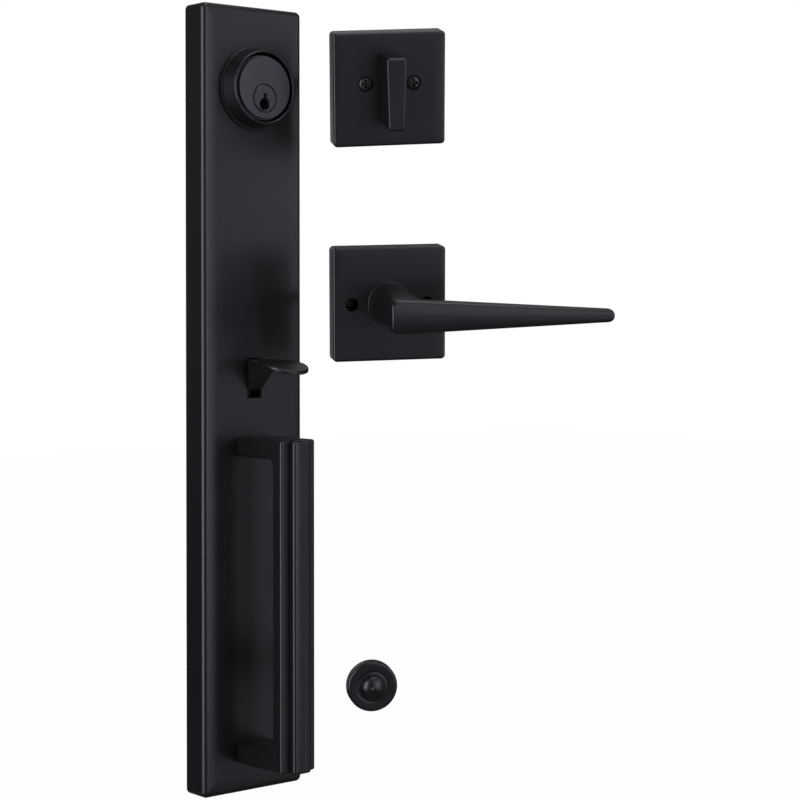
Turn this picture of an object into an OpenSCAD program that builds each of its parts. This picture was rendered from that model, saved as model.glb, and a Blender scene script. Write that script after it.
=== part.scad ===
// Entry door handleset laid out as a set, in millimetres.
// Outside trim: a tall hollow plate with the key cylinder, the thumb piece and the pull grip.
// Inside trims: the deadbolt turn, the lever and the finial of the grip's through bolt.
// +Z is up, the fronts face -Y, and the origin is the centre of the tall plate's back face.

/* [Tall plate] */
// Height of the tall plate
plate_h = 473; // [460:1:520]
// Width of the tall plate
plate_w = 73; // [70:1:90]
// Depth of the tall plate from the door to its front face
plate_d = 19; // [19:0.5:24]
// Thickness of the plate's front wall
plate_front_wall = 3; // [2:0.25:3.5]
// Thickness of the plate's side walls
plate_side_wall = 2.5; // [1.5:0.25:4]
// Radius of the four corners seen from the front
plate_corner_r = 2.5; // [2:0.25:6]
// Radius that softens the plate's front edges
plate_edge_r = 1.2; // [0.5:0.1:1.8]
// Thickness of the plate's stiffening ribs
plate_rib_t = 2; // [1.5:0.25:3]
// Height of the plate's stiffening ribs above the inner face
plate_rib_h = 9; // [5:0.5:12]

/* [Key cylinder] */
// Distance from the plate's top down to the key cylinder's centre
cylinder_below_top = 49.5; // [42:0.5:56]
// Diameter of the collar where it meets the plate
collar_d = 50; // [48:0.5:56]
// Thickness of the collar's flat base ring
collar_base_t = 2; // [1.5:0.25:3]
// Width of the small step between the base ring and the taper
collar_step = 1; // [0.5:0.25:1.5]
// How much the collar narrows on each side from its base to its front rim
collar_taper = 2.75; // [2:0.25:3.5]
// Width of the collar's front rim
collar_rim_w = 1.75; // [1.5:0.25:2.5]
// How far the collar stands out from the plate
collar_h = 12; // [10:0.5:16]
// Thickness of the collar's inner flange, which the cylinder pulls against
collar_flange_t = 2.5; // [2:0.25:4]
// Width of the dark groove between the collar's rim and the cylinder's face
groove_w = 2; // [1.5:0.25:3]
// Depth of the groove between the cylinder's face and the collar
groove_depth = 2.5; // [1.5:0.25:4]
// How far the cylinder's face lies behind the collar's rim
face_setback = 0.5; // [0:0.1:1.5]
// Width of the collar's inner flange round the cylinder's barrel
collar_flange_w = 1.7; // [1.25:0.05:2]
// Distance from the edge of the key plug's face to the edge of the barrel
plug_margin = 3.9; // [3.4:0.1:4.4]
// Diameter of the key plug's face
plug_face_d = 16.8; // [15.5:0.1:18]
// Diameter of the key plug behind its face
plug_d = 13; // [12.5:0.1:13.5]
// Diameter of the keyhole's round mouth
key_mouth_d = 8.4; // [6:0.1:9]
// Width of the keyhole's slit
key_slit_w = 2; // [1.5:0.1:3]
// Height of the keyhole from the bottom of its mouth to the top of its slit
keyhole_h = 11.5; // [10:0.25:13]
// How deep the key goes into the plug
keyway_depth = 24; // [18:0.5:26]
// Distance from the axes of the cylinder's two tapped posts to the side of its barrel
cylinder_post_inset = 4.3; // [4.1:0.1:4.8]
// How far the deadbolt screws lie above the key plug's axis
cylinder_post_rise = 3.6; // [2:0.1:5]
// Diameter of the cylinder's tapped posts
cylinder_post_d = 7.2; // [6.5:0.1:7.5]
// How far the cylinder's tapped posts reach into the door
cylinder_post_reach = 12; // [8:0.5:16]
// Width of the tailpiece
tailpiece_w = 5.2; // [4:0.1:6]
// Thickness of the tailpiece
tailpiece_t = 2; // [1.5:0.1:2.5]
// How far the tailpiece reaches behind the door face
tailpiece_reach = 36; // [30:1:60]

/* [Thumb piece] */
// Distance from the latch axis down to the thumb piece's pivot
pivot_below_latch = 22.5; // [20:0.25:25]
// Diameter of the thumb piece's pivot pin
pivot_pin_d = 3; // [2.5:0.1:3.5]
// Width of the slot that the thumb piece comes out of
slot_w = 10.4; // [9.5:0.1:11]
// How far the paddle's tip stands out from the plate
paddle_reach = 45; // [36:0.5:52]
// Width of the paddle at its broadest
paddle_w = 28; // [20:0.5:30]
// Thickness of the paddle
paddle_t = 2.4; // [1.8:0.1:3]
// Length of the paddle's flat root before it bends down
paddle_flat = 12; // [6:0.5:16]
// Radius at which the paddle bends down towards its tip
paddle_bend_r = 90; // [70:5:200]
// Side gap between the thumb piece's web and its slot
slot_play = 0.3; // [0.2:0.05:0.6]
// Wire diameter of the thumb piece's spring
thumb_wire_d = 0.8; // [0.6:0.1:0.9]

/* [Latch drive] */
// Distance from the key plug's axis down to the latch axis
latch_drop = 140; // [138:0.5:142]
// Side of the square spindle
spindle_side = 8; // [7:0.1:8]
// Diameter of the lift hub's disc
hub_d = 20; // [18:0.5:22]
// Diameter of the lift hub's neck in its bracket
hub_neck_d = 14; // [13:0.25:14.5]
// Spacing of the two tapped posts that take the lever's screws
latch_post_spacing = 45; // [44:0.5:48]
// Diameter of the latch's tapped posts
latch_post_d = 8; // [7.5:0.1:9]
// How far the latch's tapped posts reach into the door
latch_post_reach = 8; // [5:0.5:10]
// Thickness of the sheet bracket that holds the lift hub
bracket_t = 1.5; // [1.2:0.1:1.7]

/* [Grip] */
// Distance from the thumb piece's pivot down to the grip's top end
grip_below_pivot = 40; // [36:1:60]
// Distance from the plate's bottom up to the grip's bottom end
grip_above_bottom = 18.5; // [12:0.5:30]
// Width of the grip
grip_w = 25; // [20:0.5:30]
// Depth of the grip's upright bar without its raised strip
grip_bar_t = 9; // [7:0.5:14]
// Finger gap between the grip's bar and the plate
finger_gap = 35; // [28:0.5:45]
// Thickness of the grip's two arms
arm_t = 11.5; // [10:0.25:16]
// Inside radius between the grip's bar and its arms
grip_fillet_r = 5; // [2:0.5:9]
// Radius that softens the grip's long edges
grip_edge_r = 1.6; // [0.8:0.1:2.5]
// Width of the raised strip down the grip's front
strip_w = 14; // [10:0.5:18]
// How far the strip stands out from the grip's bar
strip_rise = 5; // [2:0.5:8]
// Diameter of the screw in the grip's upper arm
grip_screw_d = 6; // [5:0.1:6.5]
// Diameter of the threaded nose of the post in the grip's lower arm
grip_post_nose_d = 7.6; // [7:0.1:8]
// How far the grip's lower post reaches into the door
grip_post_reach = 14; // [8:0.5:18]
// Depth of the tapped holes in the grip's arms
grip_tap_depth = 13; // [10:0.5:20]

/* [Inside rosettes] */
// Side of the two square rosettes
rosette_side = 68; // [66:0.5:75]
// Depth of the two square rosettes
rosette_d = 13; // [12:0.5:16]
// Thickness of the rosettes' front wall
rosette_front_wall = 3; // [2.5:0.25:3.5]
// Thickness of the rosettes' side walls
rosette_side_wall = 2.5; // [1.5:0.25:4]
// Corner radius of the rosettes seen from the front
rosette_corner_r = 2.5; // [2:0.25:6]
// Radius that softens the rosettes' front edges
rosette_edge_r = 1.2; // [0.5:0.1:1.8]

/* [Deadbolt turn] */
// Length of the turn's bar
turn_len = 43; // [38:0.5:50]
// Width of the turn's bar at its top
turn_top_w = 12.6; // [10:0.1:14]
// Width of the turn's bar at its bottom
turn_bottom_w = 10; // [7:0.1:12]
// How far the turn's bar stands out from its rosette
turn_reach = 22; // [16:0.5:26]
// Diameter of the turn's shank in its rosette
turn_shank_d = 12; // [11:0.25:13]
// Diameter of the turn's spindle
turn_spindle_d = 9; // [8.5:0.1:9.5]
// How far the turn's spindle reaches behind its rosette
turn_spindle_reach = 22; // [16:0.5:30]
// Thread diameter of the deadbolt's and lever's fixing screws
fixing_screw_d = 5; // [4.5:0.1:5.2]
// Head diameter of the deadbolt's fixing screws
deadbolt_head_d = 8.8; // [8:0.1:9.5]
// How far the fixing screws reach behind their rosettes
fixing_screw_reach = 36; // [28:1:60]
// Length of the threaded end of the fixing screws and the through bolt
thread_len = 22; // [12:1:24]

/* [Lever] */
// Diameter of the ring at the foot of the lever's neck
neck_ring_d = 26.6; // [26:0.1:28]
// How far the ring stands out from its rosette
neck_ring_t = 1; // [0.8:0.1:1.5]
// Diameter of the neck at its foot
neck_d = 24.6; // [23.5:0.1:25]
// How far the lever's face stands out from its rosette
lever_reach = 60; // [50:0.5:70]
// Distance from the neck's axis to the lever's tip
lever_len = 120.5; // [100:0.5:130]
// Distance from the neck's axis to the lever's square end
lever_heel = 11; // [11:0.1:13]
// Height of the lever's blade at its root
lever_root_h = 20; // [17:0.25:22]
// Height of the lever's blade at its tip
lever_tip_h = 7.75; // [6:0.25:12]
// Thickness of the lever's blade at its root
lever_root_t = 13; // [10:0.25:15]
// Thickness of the lever's blade at its tip
lever_tip_t = 7; // [5:0.25:9]
// How far the blade's root lies below the neck's axis
lever_root_drop = 0; // [0:0.25:5]
// How far the blade's tip lies below the neck's axis
lever_tip_drop = 2.5; // [0:0.25:5]
// Diameter of the lever's shank in its rosette
lever_shank_d = 20; // [18:0.25:21]
// Head diameter of the lever's fixing screws
lever_head_d = 7.3; // [6.5:0.1:7.6]
// Diameter of the sunk holes round the heads of the lever's fixing screws
lever_sink_d = 7.8; // [7.7:0.1:9]
// How far the lever's spindle reaches behind its rosette
lever_spindle_reach = 52; // [44:1:70]
// Outer diameter of the cage round the lever's spring
cage_d = 32; // [31:0.5:33]
// Wire diameter of the lever's spring
lever_wire_d = 1.4; // [1.2:0.1:1.6]

/* [Finial] */
// Diameter of the finial's cap
finial_d = 30; // [26:0.5:36]
// Depth of the finial's cap
finial_cap_t = 7; // [5:0.25:9]
// Diameter of the domed head of the through bolt
finial_head_d = 14; // [12:0.25:16]
// Height of the domed head above the cap
finial_head_h = 6; // [4:0.25:8]
// Diameter of the through bolt
finial_bolt_d = 5; // [4.5:0.1:5]
// How far the through bolt reaches behind the finial's cap
finial_bolt_reach = 34; // [30:1:60]

/* [Layout] */
// Turn of the inside trims about the upright axis, as laid out beside the tall plate
trim_turn = 28; // [0:0.5:45]
// Direction that the inside trims lean towards, measured from straight ahead
lean_turn = 40; // [0:1:45]
// Forward lean of the deadbolt trim
deadbolt_lean = 15; // [0:0.5:20]
// Forward lean of the lever trim
lever_lean = 7.5; // [0:0.5:20]
// Forward lean of the finial
finial_lean = 4; // [0:0.5:20]
// Sideways place of the deadbolt trim
deadbolt_x = 60.5; // [55:0.5:120]
// Depth place of the deadbolt trim
deadbolt_y = -70; // [-100:0.5:-50]
// Height of the deadbolt trim above the key cylinder's centre
deadbolt_rise = 1.7; // [-5:0.1:8]
// Sideways place of the lever trim
lever_x = 55.5; // [52:0.5:120]
// Depth place of the lever trim
lever_y = -76; // [-100:0.5:-60]
// Height of the lever trim above the latch axis
lever_rise = 18.9; // [0:0.1:30]
// Sideways place of the finial
finial_x = 42; // [35:0.5:120]
// Depth place of the finial
finial_y = -78.5; // [-100:0.5:-60]
// Height of the finial above the grip's lower arm
finial_rise = 43.75; // [0:0.25:60]

/* [Hidden] */
$fn = 64;

// Finishes
coat = [0.13, 0.13, 0.14];
face_coat = [0.22, 0.23, 0.27];
steel = [0.62, 0.63, 0.65];
spring_steel = [0.5, 0.5, 0.52];

// Clearances and over-cuts
fit = 0.1;         // diametral play of a running fit
seat = 0.2;        // gap between pieces that pass each other
cut = 1;           // how far a cutter runs past the face that it opens
round_fn = 32;     // facets of the softened corners

// Planes of the tall plate
plate_front = -plate_d;
plate_inner = plate_front + plate_front_wall;

// Key cylinder, measured from the door face
collar_front = plate_front - collar_h;
flange_front = plate_front - collar_flange_t;
face_front = collar_front + face_setback;
groove_floor = face_front + groove_depth;
barrel_back = -2;
cylinder_z = plate_h / 2 - cylinder_below_top;
collar_front_d = collar_d - 2 * collar_taper;
collar_bore_d = collar_front_d - 2 * collar_rim_w;
face_d = collar_bore_d - 2 * groove_w;
barrel_d = collar_bore_d - 2 * collar_flange_w;
plug_drop = (barrel_d - plug_face_d) / 2 - plug_margin;
plug_z = cylinder_z - plug_drop;
cylinder_post_spacing = barrel_d - 2 * cylinder_post_inset;
cylinder_post_z = plug_z + cylinder_post_rise;
plug_front = face_front - 0.3;
plug_face_back = face_front + 1.5;
plug_back = -0.4;
clip_t = 1;
clip_front = barrel_back + seat;
clip_groove_d = plug_d - 2;
tail_slot_depth = 6;
tap_d = 0.84 * fixing_screw_d;
tap_depth = 20;
barrel_boss_wall = 3.5;
barrel_boss_h = 6;

// Latch axis
latch_z = plug_z - latch_drop;

// Thumb piece and its pivot
pivot_y = plate_inner + 4;
pivot_z = latch_z - pivot_below_latch;
slot_bottom = pivot_z - 17;
slot_top = pivot_z + 7.2;
web_w = slot_w - 2 * slot_play;
web_barrel_r = 3.6;
web_drop = 12.5;
web_reach = 15.5;
ear_gap = web_w / 2 + 0.8;
ear_t = 2.5;
ear_r = 4.5;
foot_w = 24;
foot_t = 2.5;
foot_back = -1;
foot_depth = 3;
foot_top = pivot_z + 9;
paddle_tip = plate_front - paddle_reach;
paddle_root_top = pivot_z + 6.6;
guard_w = 24;
guard_t = 2;
guard_depth = 7.5;
guard_lip = 2.6;
pin_head_d = 6;
pin_head_t = 1;
thumb_coil_turns = 4;
thumb_coil_r = pivot_pin_d / 2 + thumb_wire_d / 2 + 0.5;
thumb_coil_start = ear_gap + ear_t + thumb_wire_d / 2 + 0.3;
thumb_coil_pitch = thumb_wire_d + 0.1;
pin_head_x = thumb_coil_start + thumb_coil_turns * thumb_coil_pitch + thumb_wire_d / 2 + 0.3;

// Latch drive
bracket_back = -0.5;
bracket_front = bracket_back - bracket_t;
hub_front = plate_inner + 0.8;
hub_disc_back = hub_front + 6;
finger_gap_z = 0.7;
hub_boss_wall = 2.5;
hub_boss_h = 4;
finger_front = hub_disc_back;
finger_back = bracket_front - 0.3;
boss_d = 12;
bracket_play = 3.5;
bracket_w = plate_w - 2 * plate_side_wall - 2 * bracket_play;
bracket_low = latch_z - 7;
bracket_h = 24;
bracket_screw_z = bracket_low + bracket_h - 4.5;
bracket_screw_d = 3;
bracket_screw_len = 6;
latch_tap_depth = 13;
post_seat_depth = 6;

// Grip
grip_top_z = pivot_z - grip_below_pivot;
grip_bottom_z = -plate_h / 2 + grip_above_bottom;
bar_back = plate_front - finger_gap;
bar_front = bar_back - grip_bar_t;
upper_arm_z = grip_top_z - arm_t / 2;
lower_arm_z = grip_bottom_z + arm_t / 2;
grip_head_d = 11;
grip_head_t = 3.5;
post_flange_d = 14;
post_flange_t = 2;
post_bore_depth = grip_post_reach + 10;
grip_pad_h = 1;
grip_pad_d = post_flange_d + 6;

// Inside trims, each in its own frame with its back at y = 0
rosette_front = -rosette_d;
rosette_inner = rosette_front + rosette_front_wall;
head_t = 2.7;
screw_boss_d = 13;
screw_shank_d = fixing_screw_d - 1;
bolt_shank_d = finial_bolt_d - 1;
turn_back = rosette_front - 0.4;
turn_front = rosette_front - turn_reach;
turn_groove_d = turn_shank_d - 1.6;
turn_bush_d = turn_shank_d + 8;
turn_bush_back = rosette_inner + 4;
turn_shank_back = turn_bush_back + 3.5;
spindle_seat_depth = 8;
tail_fork_depth = 18;
tail_play = 0.6;
turn_corner_r = 1.3;
turn_edge_r = 1;
lever_face = rosette_front - lever_reach;
lever_back = lever_face + lever_root_t;
neck_foot = rosette_front - neck_ring_t - 0.4;
lever_shank_back = rosette_inner + 0.6;
sink_floor = -4;
cage_back = -0.5;
cage_wall = 1.5;
cage_floor_front = cage_back - cage_wall;
lever_hub_d = 18;
lever_root_r = 4.5;
lever_tip_r = 3.5;
lever_edge_r = 1.6;
neck_end = lever_face + 4;
cage_ear = 6.5;
grub_len = 6;
lever_sleeve_d = 14;
grub_d = 4;
grub_y = rosette_front - 12;
spindle_front = rosette_front - 22;

// Rod along Y from one depth to another
module rod(d, front, back) {
    translate([0, back, 0])
        rotate([90, 0, 0])
            cylinder(d = d, h = back - front);
}

// Rod along X
module cross_rod(d, left, right) {
    translate([left, 0, 0])
        rotate([0, 90, 0])
            cylinder(d = d, h = right - left);
}

// Turned shape whose profile gives each radius with its depth in front of the door
module turned(profile) {
    rotate([90, 0, 0])
        rotate_extrude()
            polygon(profile);
}

// Points of a quarter round from one angle to the next
function arc(centre, r, from, to, steps = 6) = [
    for (i = [0:steps])
        let (a = from + (to - from) * i / steps)
        [centre[0] + r * cos(a), centre[1] + r * sin(a)]
];

// One corner of a softened block, a short post with a rounded front rim
module corner_post(r, edge, depth) {
    rotate([90, 0, 0])
        rotate_extrude($fn = round_fn)
            polygon(concat([[0, 0], [r, 0]], arc([r - edge, depth - edge], edge, 0, 90), [[0, depth]]));
}

// Block with its back at y = 0, corners rounded from the front and a softened front rim.
// Its outline runs through the given half widths at its top and bottom.
module soft_block(top_w, bottom_w, low, high, depth, r, edge) {
    hull() {
        for (side = [-1, 1]) {
            translate([side * (top_w / 2 - r), 0, high - r])
                corner_post(r, edge, depth);
            translate([side * (bottom_w / 2 - r), 0, low + r])
                corner_post(r, edge, depth);
        }
    }
}

// Hollow square cover, open at the back
module cover(side_x, side_z, depth, front_wall, side_wall, r, edge) {
    difference() {
        soft_block(side_x, side_x, -side_z / 2, side_z / 2, depth, r, edge);
        translate([-side_x / 2 + side_wall, front_wall - depth, -side_z / 2 + side_wall])
            cube([side_x - 2 * side_wall, depth - front_wall + cut, side_z - 2 * side_wall]);
    }
}

// Cross recess of a screw head, cut into a face at the given depth
module cross_recess(face, width, depth) {
    for (turn = [0, 90])
        rotate([0, turn, 0])
            translate([-width / 2, face - cut, -width / 8])
                cube([width, depth + cut, width / 4]);
}

// Coil spring about Z with a straight leg at each end
module coil(r, wire, pitch, turns, first_leg, last_leg) {
    steps = 16;
    sides = 8;
    count = turns * steps;
    points = [
        for (i = [-1:count + 1])
            let (
                t = min(max(i, 0), count) * 360 / steps,
                leg = i < 0 ? -first_leg : (i > count ? last_leg : 0)
            )
            for (j = [0:sides - 1])
                let (a = j * 360 / sides, ring = r + wire / 2 * cos(a))
                [
                    ring * cos(t) - leg * sin(t),
                    ring * sin(t) + leg * cos(t),
                    pitch * t / 360 + wire / 2 * sin(a)
                ]
    ];
    rings = count + 3;
    walls = [
        for (i = [0:rings - 2], j = [0:sides - 1])
            [
                i * sides + j,
                i * sides + (j + 1) % sides,
                (i + 1) * sides + (j + 1) % sides,
                (i + 1) * sides + j
            ]
    ];
    first_cap = [for (j = [sides - 1:-1:0]) j];
    last_cap = [for (j = [0:sides - 1]) (rings - 1) * sides + j];
    polyhedron(points, concat(walls, [first_cap, last_cap]));
}

// Open retaining ring
module snap_ring(inner, outer, front, back) {
    difference() {
        rod(outer, front, back);
        rod(inner, front - cut, back + cut);
        translate([-inner / 5, front - cut, -outer])
            cube([inner / 2.5, back - front + 2 * cut, outer]);
    }
}

// Places an inside trim beside the tall plate, leaning towards lean_turn
module place_trim(at, lean) {
    translate(at)
        rotate([0, 0, -lean_turn])
            rotate([lean, 0, 0])
                rotate([0, 0, lean_turn - trim_turn])
                    children();
}
module place_deadbolt() {
    place_trim([deadbolt_x, deadbolt_y, cylinder_z + deadbolt_rise], deadbolt_lean)
        children();
}
module place_lever() {
    place_trim([lever_x, lever_y, latch_z + lever_rise], lever_lean)
        children();
}
module place_finial() {
    place_trim([finial_x, finial_y, lower_arm_z + finial_rise], finial_lean)
        children();
}

module pivot_ear(side) {
    left = side > 0 ? ear_gap : -ear_gap - ear_t;
    translate([0, pivot_y, pivot_z])
        cross_rod(2 * ear_r, left, left + ear_t);
    translate([left, plate_inner - cut, pivot_z - ear_r])
        cube([ear_t, pivot_y - plate_inner + cut, 2 * ear_r]);
}

// Ledge, wall and lip behind the thumb piece's slot, clear of the thumb piece's swing
module slot_guards() {
    translate([-guard_w / 2, plate_inner - cut, slot_bottom - guard_t - 0.2])
        cube([guard_w, guard_depth + cut, guard_t]);
    translate([-guard_w / 2, plate_inner + guard_depth - guard_t, slot_bottom - guard_t - 0.2])
        cube([guard_w, guard_t, guard_t + 6]);
    translate([-guard_w / 2, plate_inner - cut, paddle_root_top - 0.1])
        cube([guard_w, guard_lip + cut, 3]);
}

module escutcheon() {
    rib_zs = [grip_bottom_z + 32, grip_bottom_z + 92, grip_top_z - 44, latch_z + 50, latch_z + 88];
    color(coat)
        difference() {
            union() {
                cover(plate_w, plate_h, plate_d, plate_front_wall, plate_side_wall,
                      plate_corner_r, plate_edge_r);
                for (z = rib_zs)
                    translate([-plate_w / 2 + cut, plate_inner - cut, z - plate_rib_t / 2])
                        cube([plate_w - 2 * cut, plate_rib_h + cut, plate_rib_t]);
                translate([0, 0, cylinder_z])
                    rod(barrel_d + 2 * barrel_boss_wall, plate_inner - cut, plate_inner + barrel_boss_h);
                for (side = [-1, 1]) {
                    pivot_ear(side);
                    translate([side * latch_post_spacing / 2, 0, latch_z])
                        rod(boss_d, plate_inner - cut, bracket_front);
                    translate([side * latch_post_spacing / 2, 0, bracket_screw_z])
                        rod(bracket_screw_d + 5, plate_inner - cut, bracket_front);
                }
                slot_guards();
                translate([0, 0, latch_z])
                    rod(hub_d + 2 * hub_boss_wall, plate_inner - cut, plate_inner + hub_boss_h);
                for (z = [upper_arm_z, lower_arm_z])
                    translate([0, 0, z])
                        rod(grip_pad_d, plate_inner - cut, plate_inner + grip_pad_h);
            }
            translate([0, 0, cylinder_z])
                rod(barrel_d + 2 * seat, plate_front - cut, plate_inner + barrel_boss_h + cut);
            translate([-slot_w / 2, plate_front - cut, slot_bottom])
                cube([slot_w, plate_front_wall + cut, slot_top - slot_bottom]);
            translate([0, pivot_y, pivot_z])
                cross_rod(pivot_pin_d, -plate_w / 4, plate_w / 4);
            translate([0, 0, latch_z])
                rod(hub_d + 0.6, plate_inner, plate_inner + hub_boss_h + cut);
            for (side = [-1, 1]) {
                translate([side * latch_post_spacing / 2, 0, latch_z])
                    rod(latch_post_d, bracket_front - post_seat_depth, bracket_front + cut);
                translate([side * latch_post_spacing / 2, 0, bracket_screw_z])
                    rod(bracket_screw_d, bracket_front - bracket_screw_len - 1, bracket_front + cut);
            }
            translate([0, 0, upper_arm_z])
                rod(grip_screw_d + 2 * seat, plate_front - cut, plate_inner + grip_pad_h + cut);
            translate([0, 0, lower_arm_z])
                rod(grip_post_nose_d + 2 * seat, plate_front - cut, plate_inner + grip_pad_h + cut);
        }
}

module cylinder_collar() {
    color(coat)
        translate([0, 0, cylinder_z])
            turned([
                [barrel_d / 2 + 0.2, plate_d],
                [collar_d / 2 - 0.3, plate_d],
                [collar_d / 2, plate_d + 0.3],
                [collar_d / 2, plate_d + collar_base_t],
                [collar_d / 2 - collar_step, plate_d + collar_base_t],
                [collar_d / 2 - collar_step, plate_d + collar_base_t + 0.6],
                [collar_front_d / 2, plate_d + collar_h - 0.5],
                [collar_front_d / 2 - 0.5, plate_d + collar_h],
                [collar_bore_d / 2 + 0.4, plate_d + collar_h],
                [collar_bore_d / 2, plate_d + collar_h - 0.4],
                [collar_bore_d / 2, -flange_front],
                [barrel_d / 2 + 0.2, -flange_front]
            ]);
}

module cylinder_body() {
    color(face_coat)
        translate([0, 0, cylinder_z])
            difference() {
                union() {
                    rod(face_d, face_front, groove_floor + 0.2);
                    rod(collar_bore_d - 0.3, groove_floor, flange_front);
                    rod(barrel_d, flange_front - cut, barrel_back);
                    for (side = [-1, 1])
                        translate([side * cylinder_post_spacing / 2, 0, cylinder_post_z - cylinder_z])
                            rod(cylinder_post_d, barrel_back - cut, cylinder_post_reach);
                }
                translate([0, 0, -plug_drop]) {
                    rod(plug_d + fit, face_front - cut, barrel_back + cut);
                    rod(plug_face_d + 0.4, face_front - cut, plug_face_back + 0.1);
                }
                for (side = [-1, 1])
                    translate([side * cylinder_post_spacing / 2, 0, cylinder_post_z - cylinder_z])
                        rod(tap_d, cylinder_post_reach - tap_depth, cylinder_post_reach + cut);
            }
}

module key_plug() {
    mouth_z = -keyhole_h / 2 + key_mouth_d / 2;
    color(coat)
        translate([0, 0, plug_z])
            difference() {
                union() {
                    rod(plug_face_d, plug_front, plug_face_back);
                    rod(plug_d, plug_face_back - cut, clip_front);
                    rod(clip_groove_d, clip_front - cut, clip_front + clip_t);
                    rod(plug_d, clip_front + clip_t, plug_back);
                }
                translate([0, 0, mouth_z])
                    rod(key_mouth_d, plug_front - cut, plug_front + 1.6);
                translate([-key_slit_w / 2, plug_front - cut, mouth_z])
                    cube([key_slit_w, keyway_depth + cut, keyhole_h / 2 - mouth_z]);
                translate([-tailpiece_w / 2 - fit / 2, plug_back - tail_slot_depth, -tailpiece_t / 2 - fit / 2])
                    cube([tailpiece_w + fit, tail_slot_depth + cut, tailpiece_t + fit]);
            }
}

module plug_clip() {
    color(spring_steel)
        translate([0, 0, plug_z])
            snap_ring(clip_groove_d + fit, plug_d + 3, clip_front + 0.05, clip_front + clip_t - 0.05);
}

module tailpiece() {
    color(steel)
        translate([-tailpiece_w / 2, plug_back - tail_slot_depth, plug_z - tailpiece_t / 2])
            cube([tailpiece_w, tailpiece_reach - plug_back + tail_slot_depth, tailpiece_t]);
}

// Half outline of the paddle from its narrow root to its round tip, seen from above
function paddle_outline() =
    let (
        tip_r = paddle_w / 2,
        root_r = web_w / 2,
        round_y = paddle_tip + tip_r,
        right = [
            [root_r, plate_front + 2],
            [root_r, plate_front - 1.5],
            [root_r + (tip_r - root_r) * 0.45, plate_front - 0.22 * paddle_reach],
            [root_r + (tip_r - root_r) * 0.86, plate_front - 0.44 * paddle_reach]
        ],
        left = [for (i = [3:-1:0]) [-right[i][0], right[i][1]]]
    )
    concat(right, arc([0, round_y], tip_r, 0, -180, 16), left);

// Side outline of the paddle, flat at its root and bent down towards its tip
function paddle_side() =
    let (
        bend_y = plate_front - paddle_flat,
        bend_z = paddle_root_top - paddle_bend_r,
        swing = asin((paddle_reach - paddle_flat + 4) / paddle_bend_r)
    )
    concat(
        [[plate_inner, paddle_root_top - paddle_t], [plate_inner, paddle_root_top]],
        arc([bend_y, bend_z], paddle_bend_r, 90, 90 + swing, 10),
        arc([bend_y, bend_z], paddle_bend_r - paddle_t, 90 + swing, 90, 10)
    );

module paddle() {
    intersection() {
        translate([0, 0, pivot_z - paddle_reach / 2])
            linear_extrude(paddle_reach)
                polygon(paddle_outline());
        rotate([90, 0, 90])
            linear_extrude(2 * paddle_w, center = true)
                polygon(paddle_side());
    }
}

module thumb_piece() {
    web = [
        [pivot_y + 1, pivot_z - 3.2],
        [pivot_y - 3, pivot_z - web_drop + 2.5],
        [plate_front - 0.5, pivot_z - web_drop],
        [plate_front - web_reach, paddle_root_top - paddle_t - 2.2],
        [plate_front - web_reach, paddle_root_top - paddle_t + 0.5],
        [plate_front, paddle_root_top - 1],
        [plate_inner, paddle_root_top - 0.6],
        [pivot_y + 1, pivot_z + 3.2]
    ];
    tail = [
        [pivot_y - 2, pivot_z + 3],
        [pivot_y + 3, pivot_z - 1.5],
        [foot_back, foot_top - foot_t],
        [foot_back - foot_depth, foot_top]
    ];
    color(coat)
        difference() {
            union() {
                paddle();
                rotate([90, 0, 90])
                    linear_extrude(web_w, center = true) {
                        polygon(web);
                        polygon(tail);
                    }
                translate([0, pivot_y, pivot_z])
                    cross_rod(2 * web_barrel_r, -web_w / 2 + 0.2, web_w / 2 - 0.2);
                translate([-foot_w / 2, foot_back - foot_depth, foot_top - foot_t])
                    cube([foot_w, foot_depth, foot_t]);
            }
            translate([0, pivot_y, pivot_z])
                cross_rod(pivot_pin_d + fit, -slot_w, slot_w);
        }
}

module thumb_pin() {
    color(steel)
        translate([0, pivot_y, pivot_z]) {
            cross_rod(pivot_pin_d - 0.02, -ear_gap - ear_t - 0.5, pin_head_x + 0.1);
            cross_rod(pin_head_d, pin_head_x, pin_head_x + pin_head_t);
        }
}

module thumb_spring() {
    color(spring_steel)
        translate([thumb_coil_start, pivot_y, pivot_z])
            rotate([0, 90, 0])
                rotate([0, 0, 90])
                    coil(thumb_coil_r, thumb_wire_d, thumb_coil_pitch, thumb_coil_turns, 5, 5);
}

module lift_hub() {
    finger_low = foot_top + finger_gap_z;
    finger = [
        [4, finger_low],
        [8, finger_low],
        [9.4, latch_z - 4],
        [5, latch_z + 2],
        [-3, latch_z + 2],
        [0, latch_z - 4]
    ];
    color(steel)
        difference() {
            union() {
                translate([0, 0, latch_z]) {
                    rod(hub_d, hub_front, hub_disc_back);
                    rod(hub_neck_d, hub_front, bracket_back);
                }
                translate([0, finger_back, 0])
                    rotate([90, 0, 0])
                        linear_extrude(finger_back - finger_front + cut)
                            polygon(finger);
            }
            translate([-spindle_side / 2 - fit / 2, hub_front + 2, latch_z - spindle_side / 2 - fit / 2])
                cube([spindle_side + fit, plate_d, spindle_side + fit]);
        }
}

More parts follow.
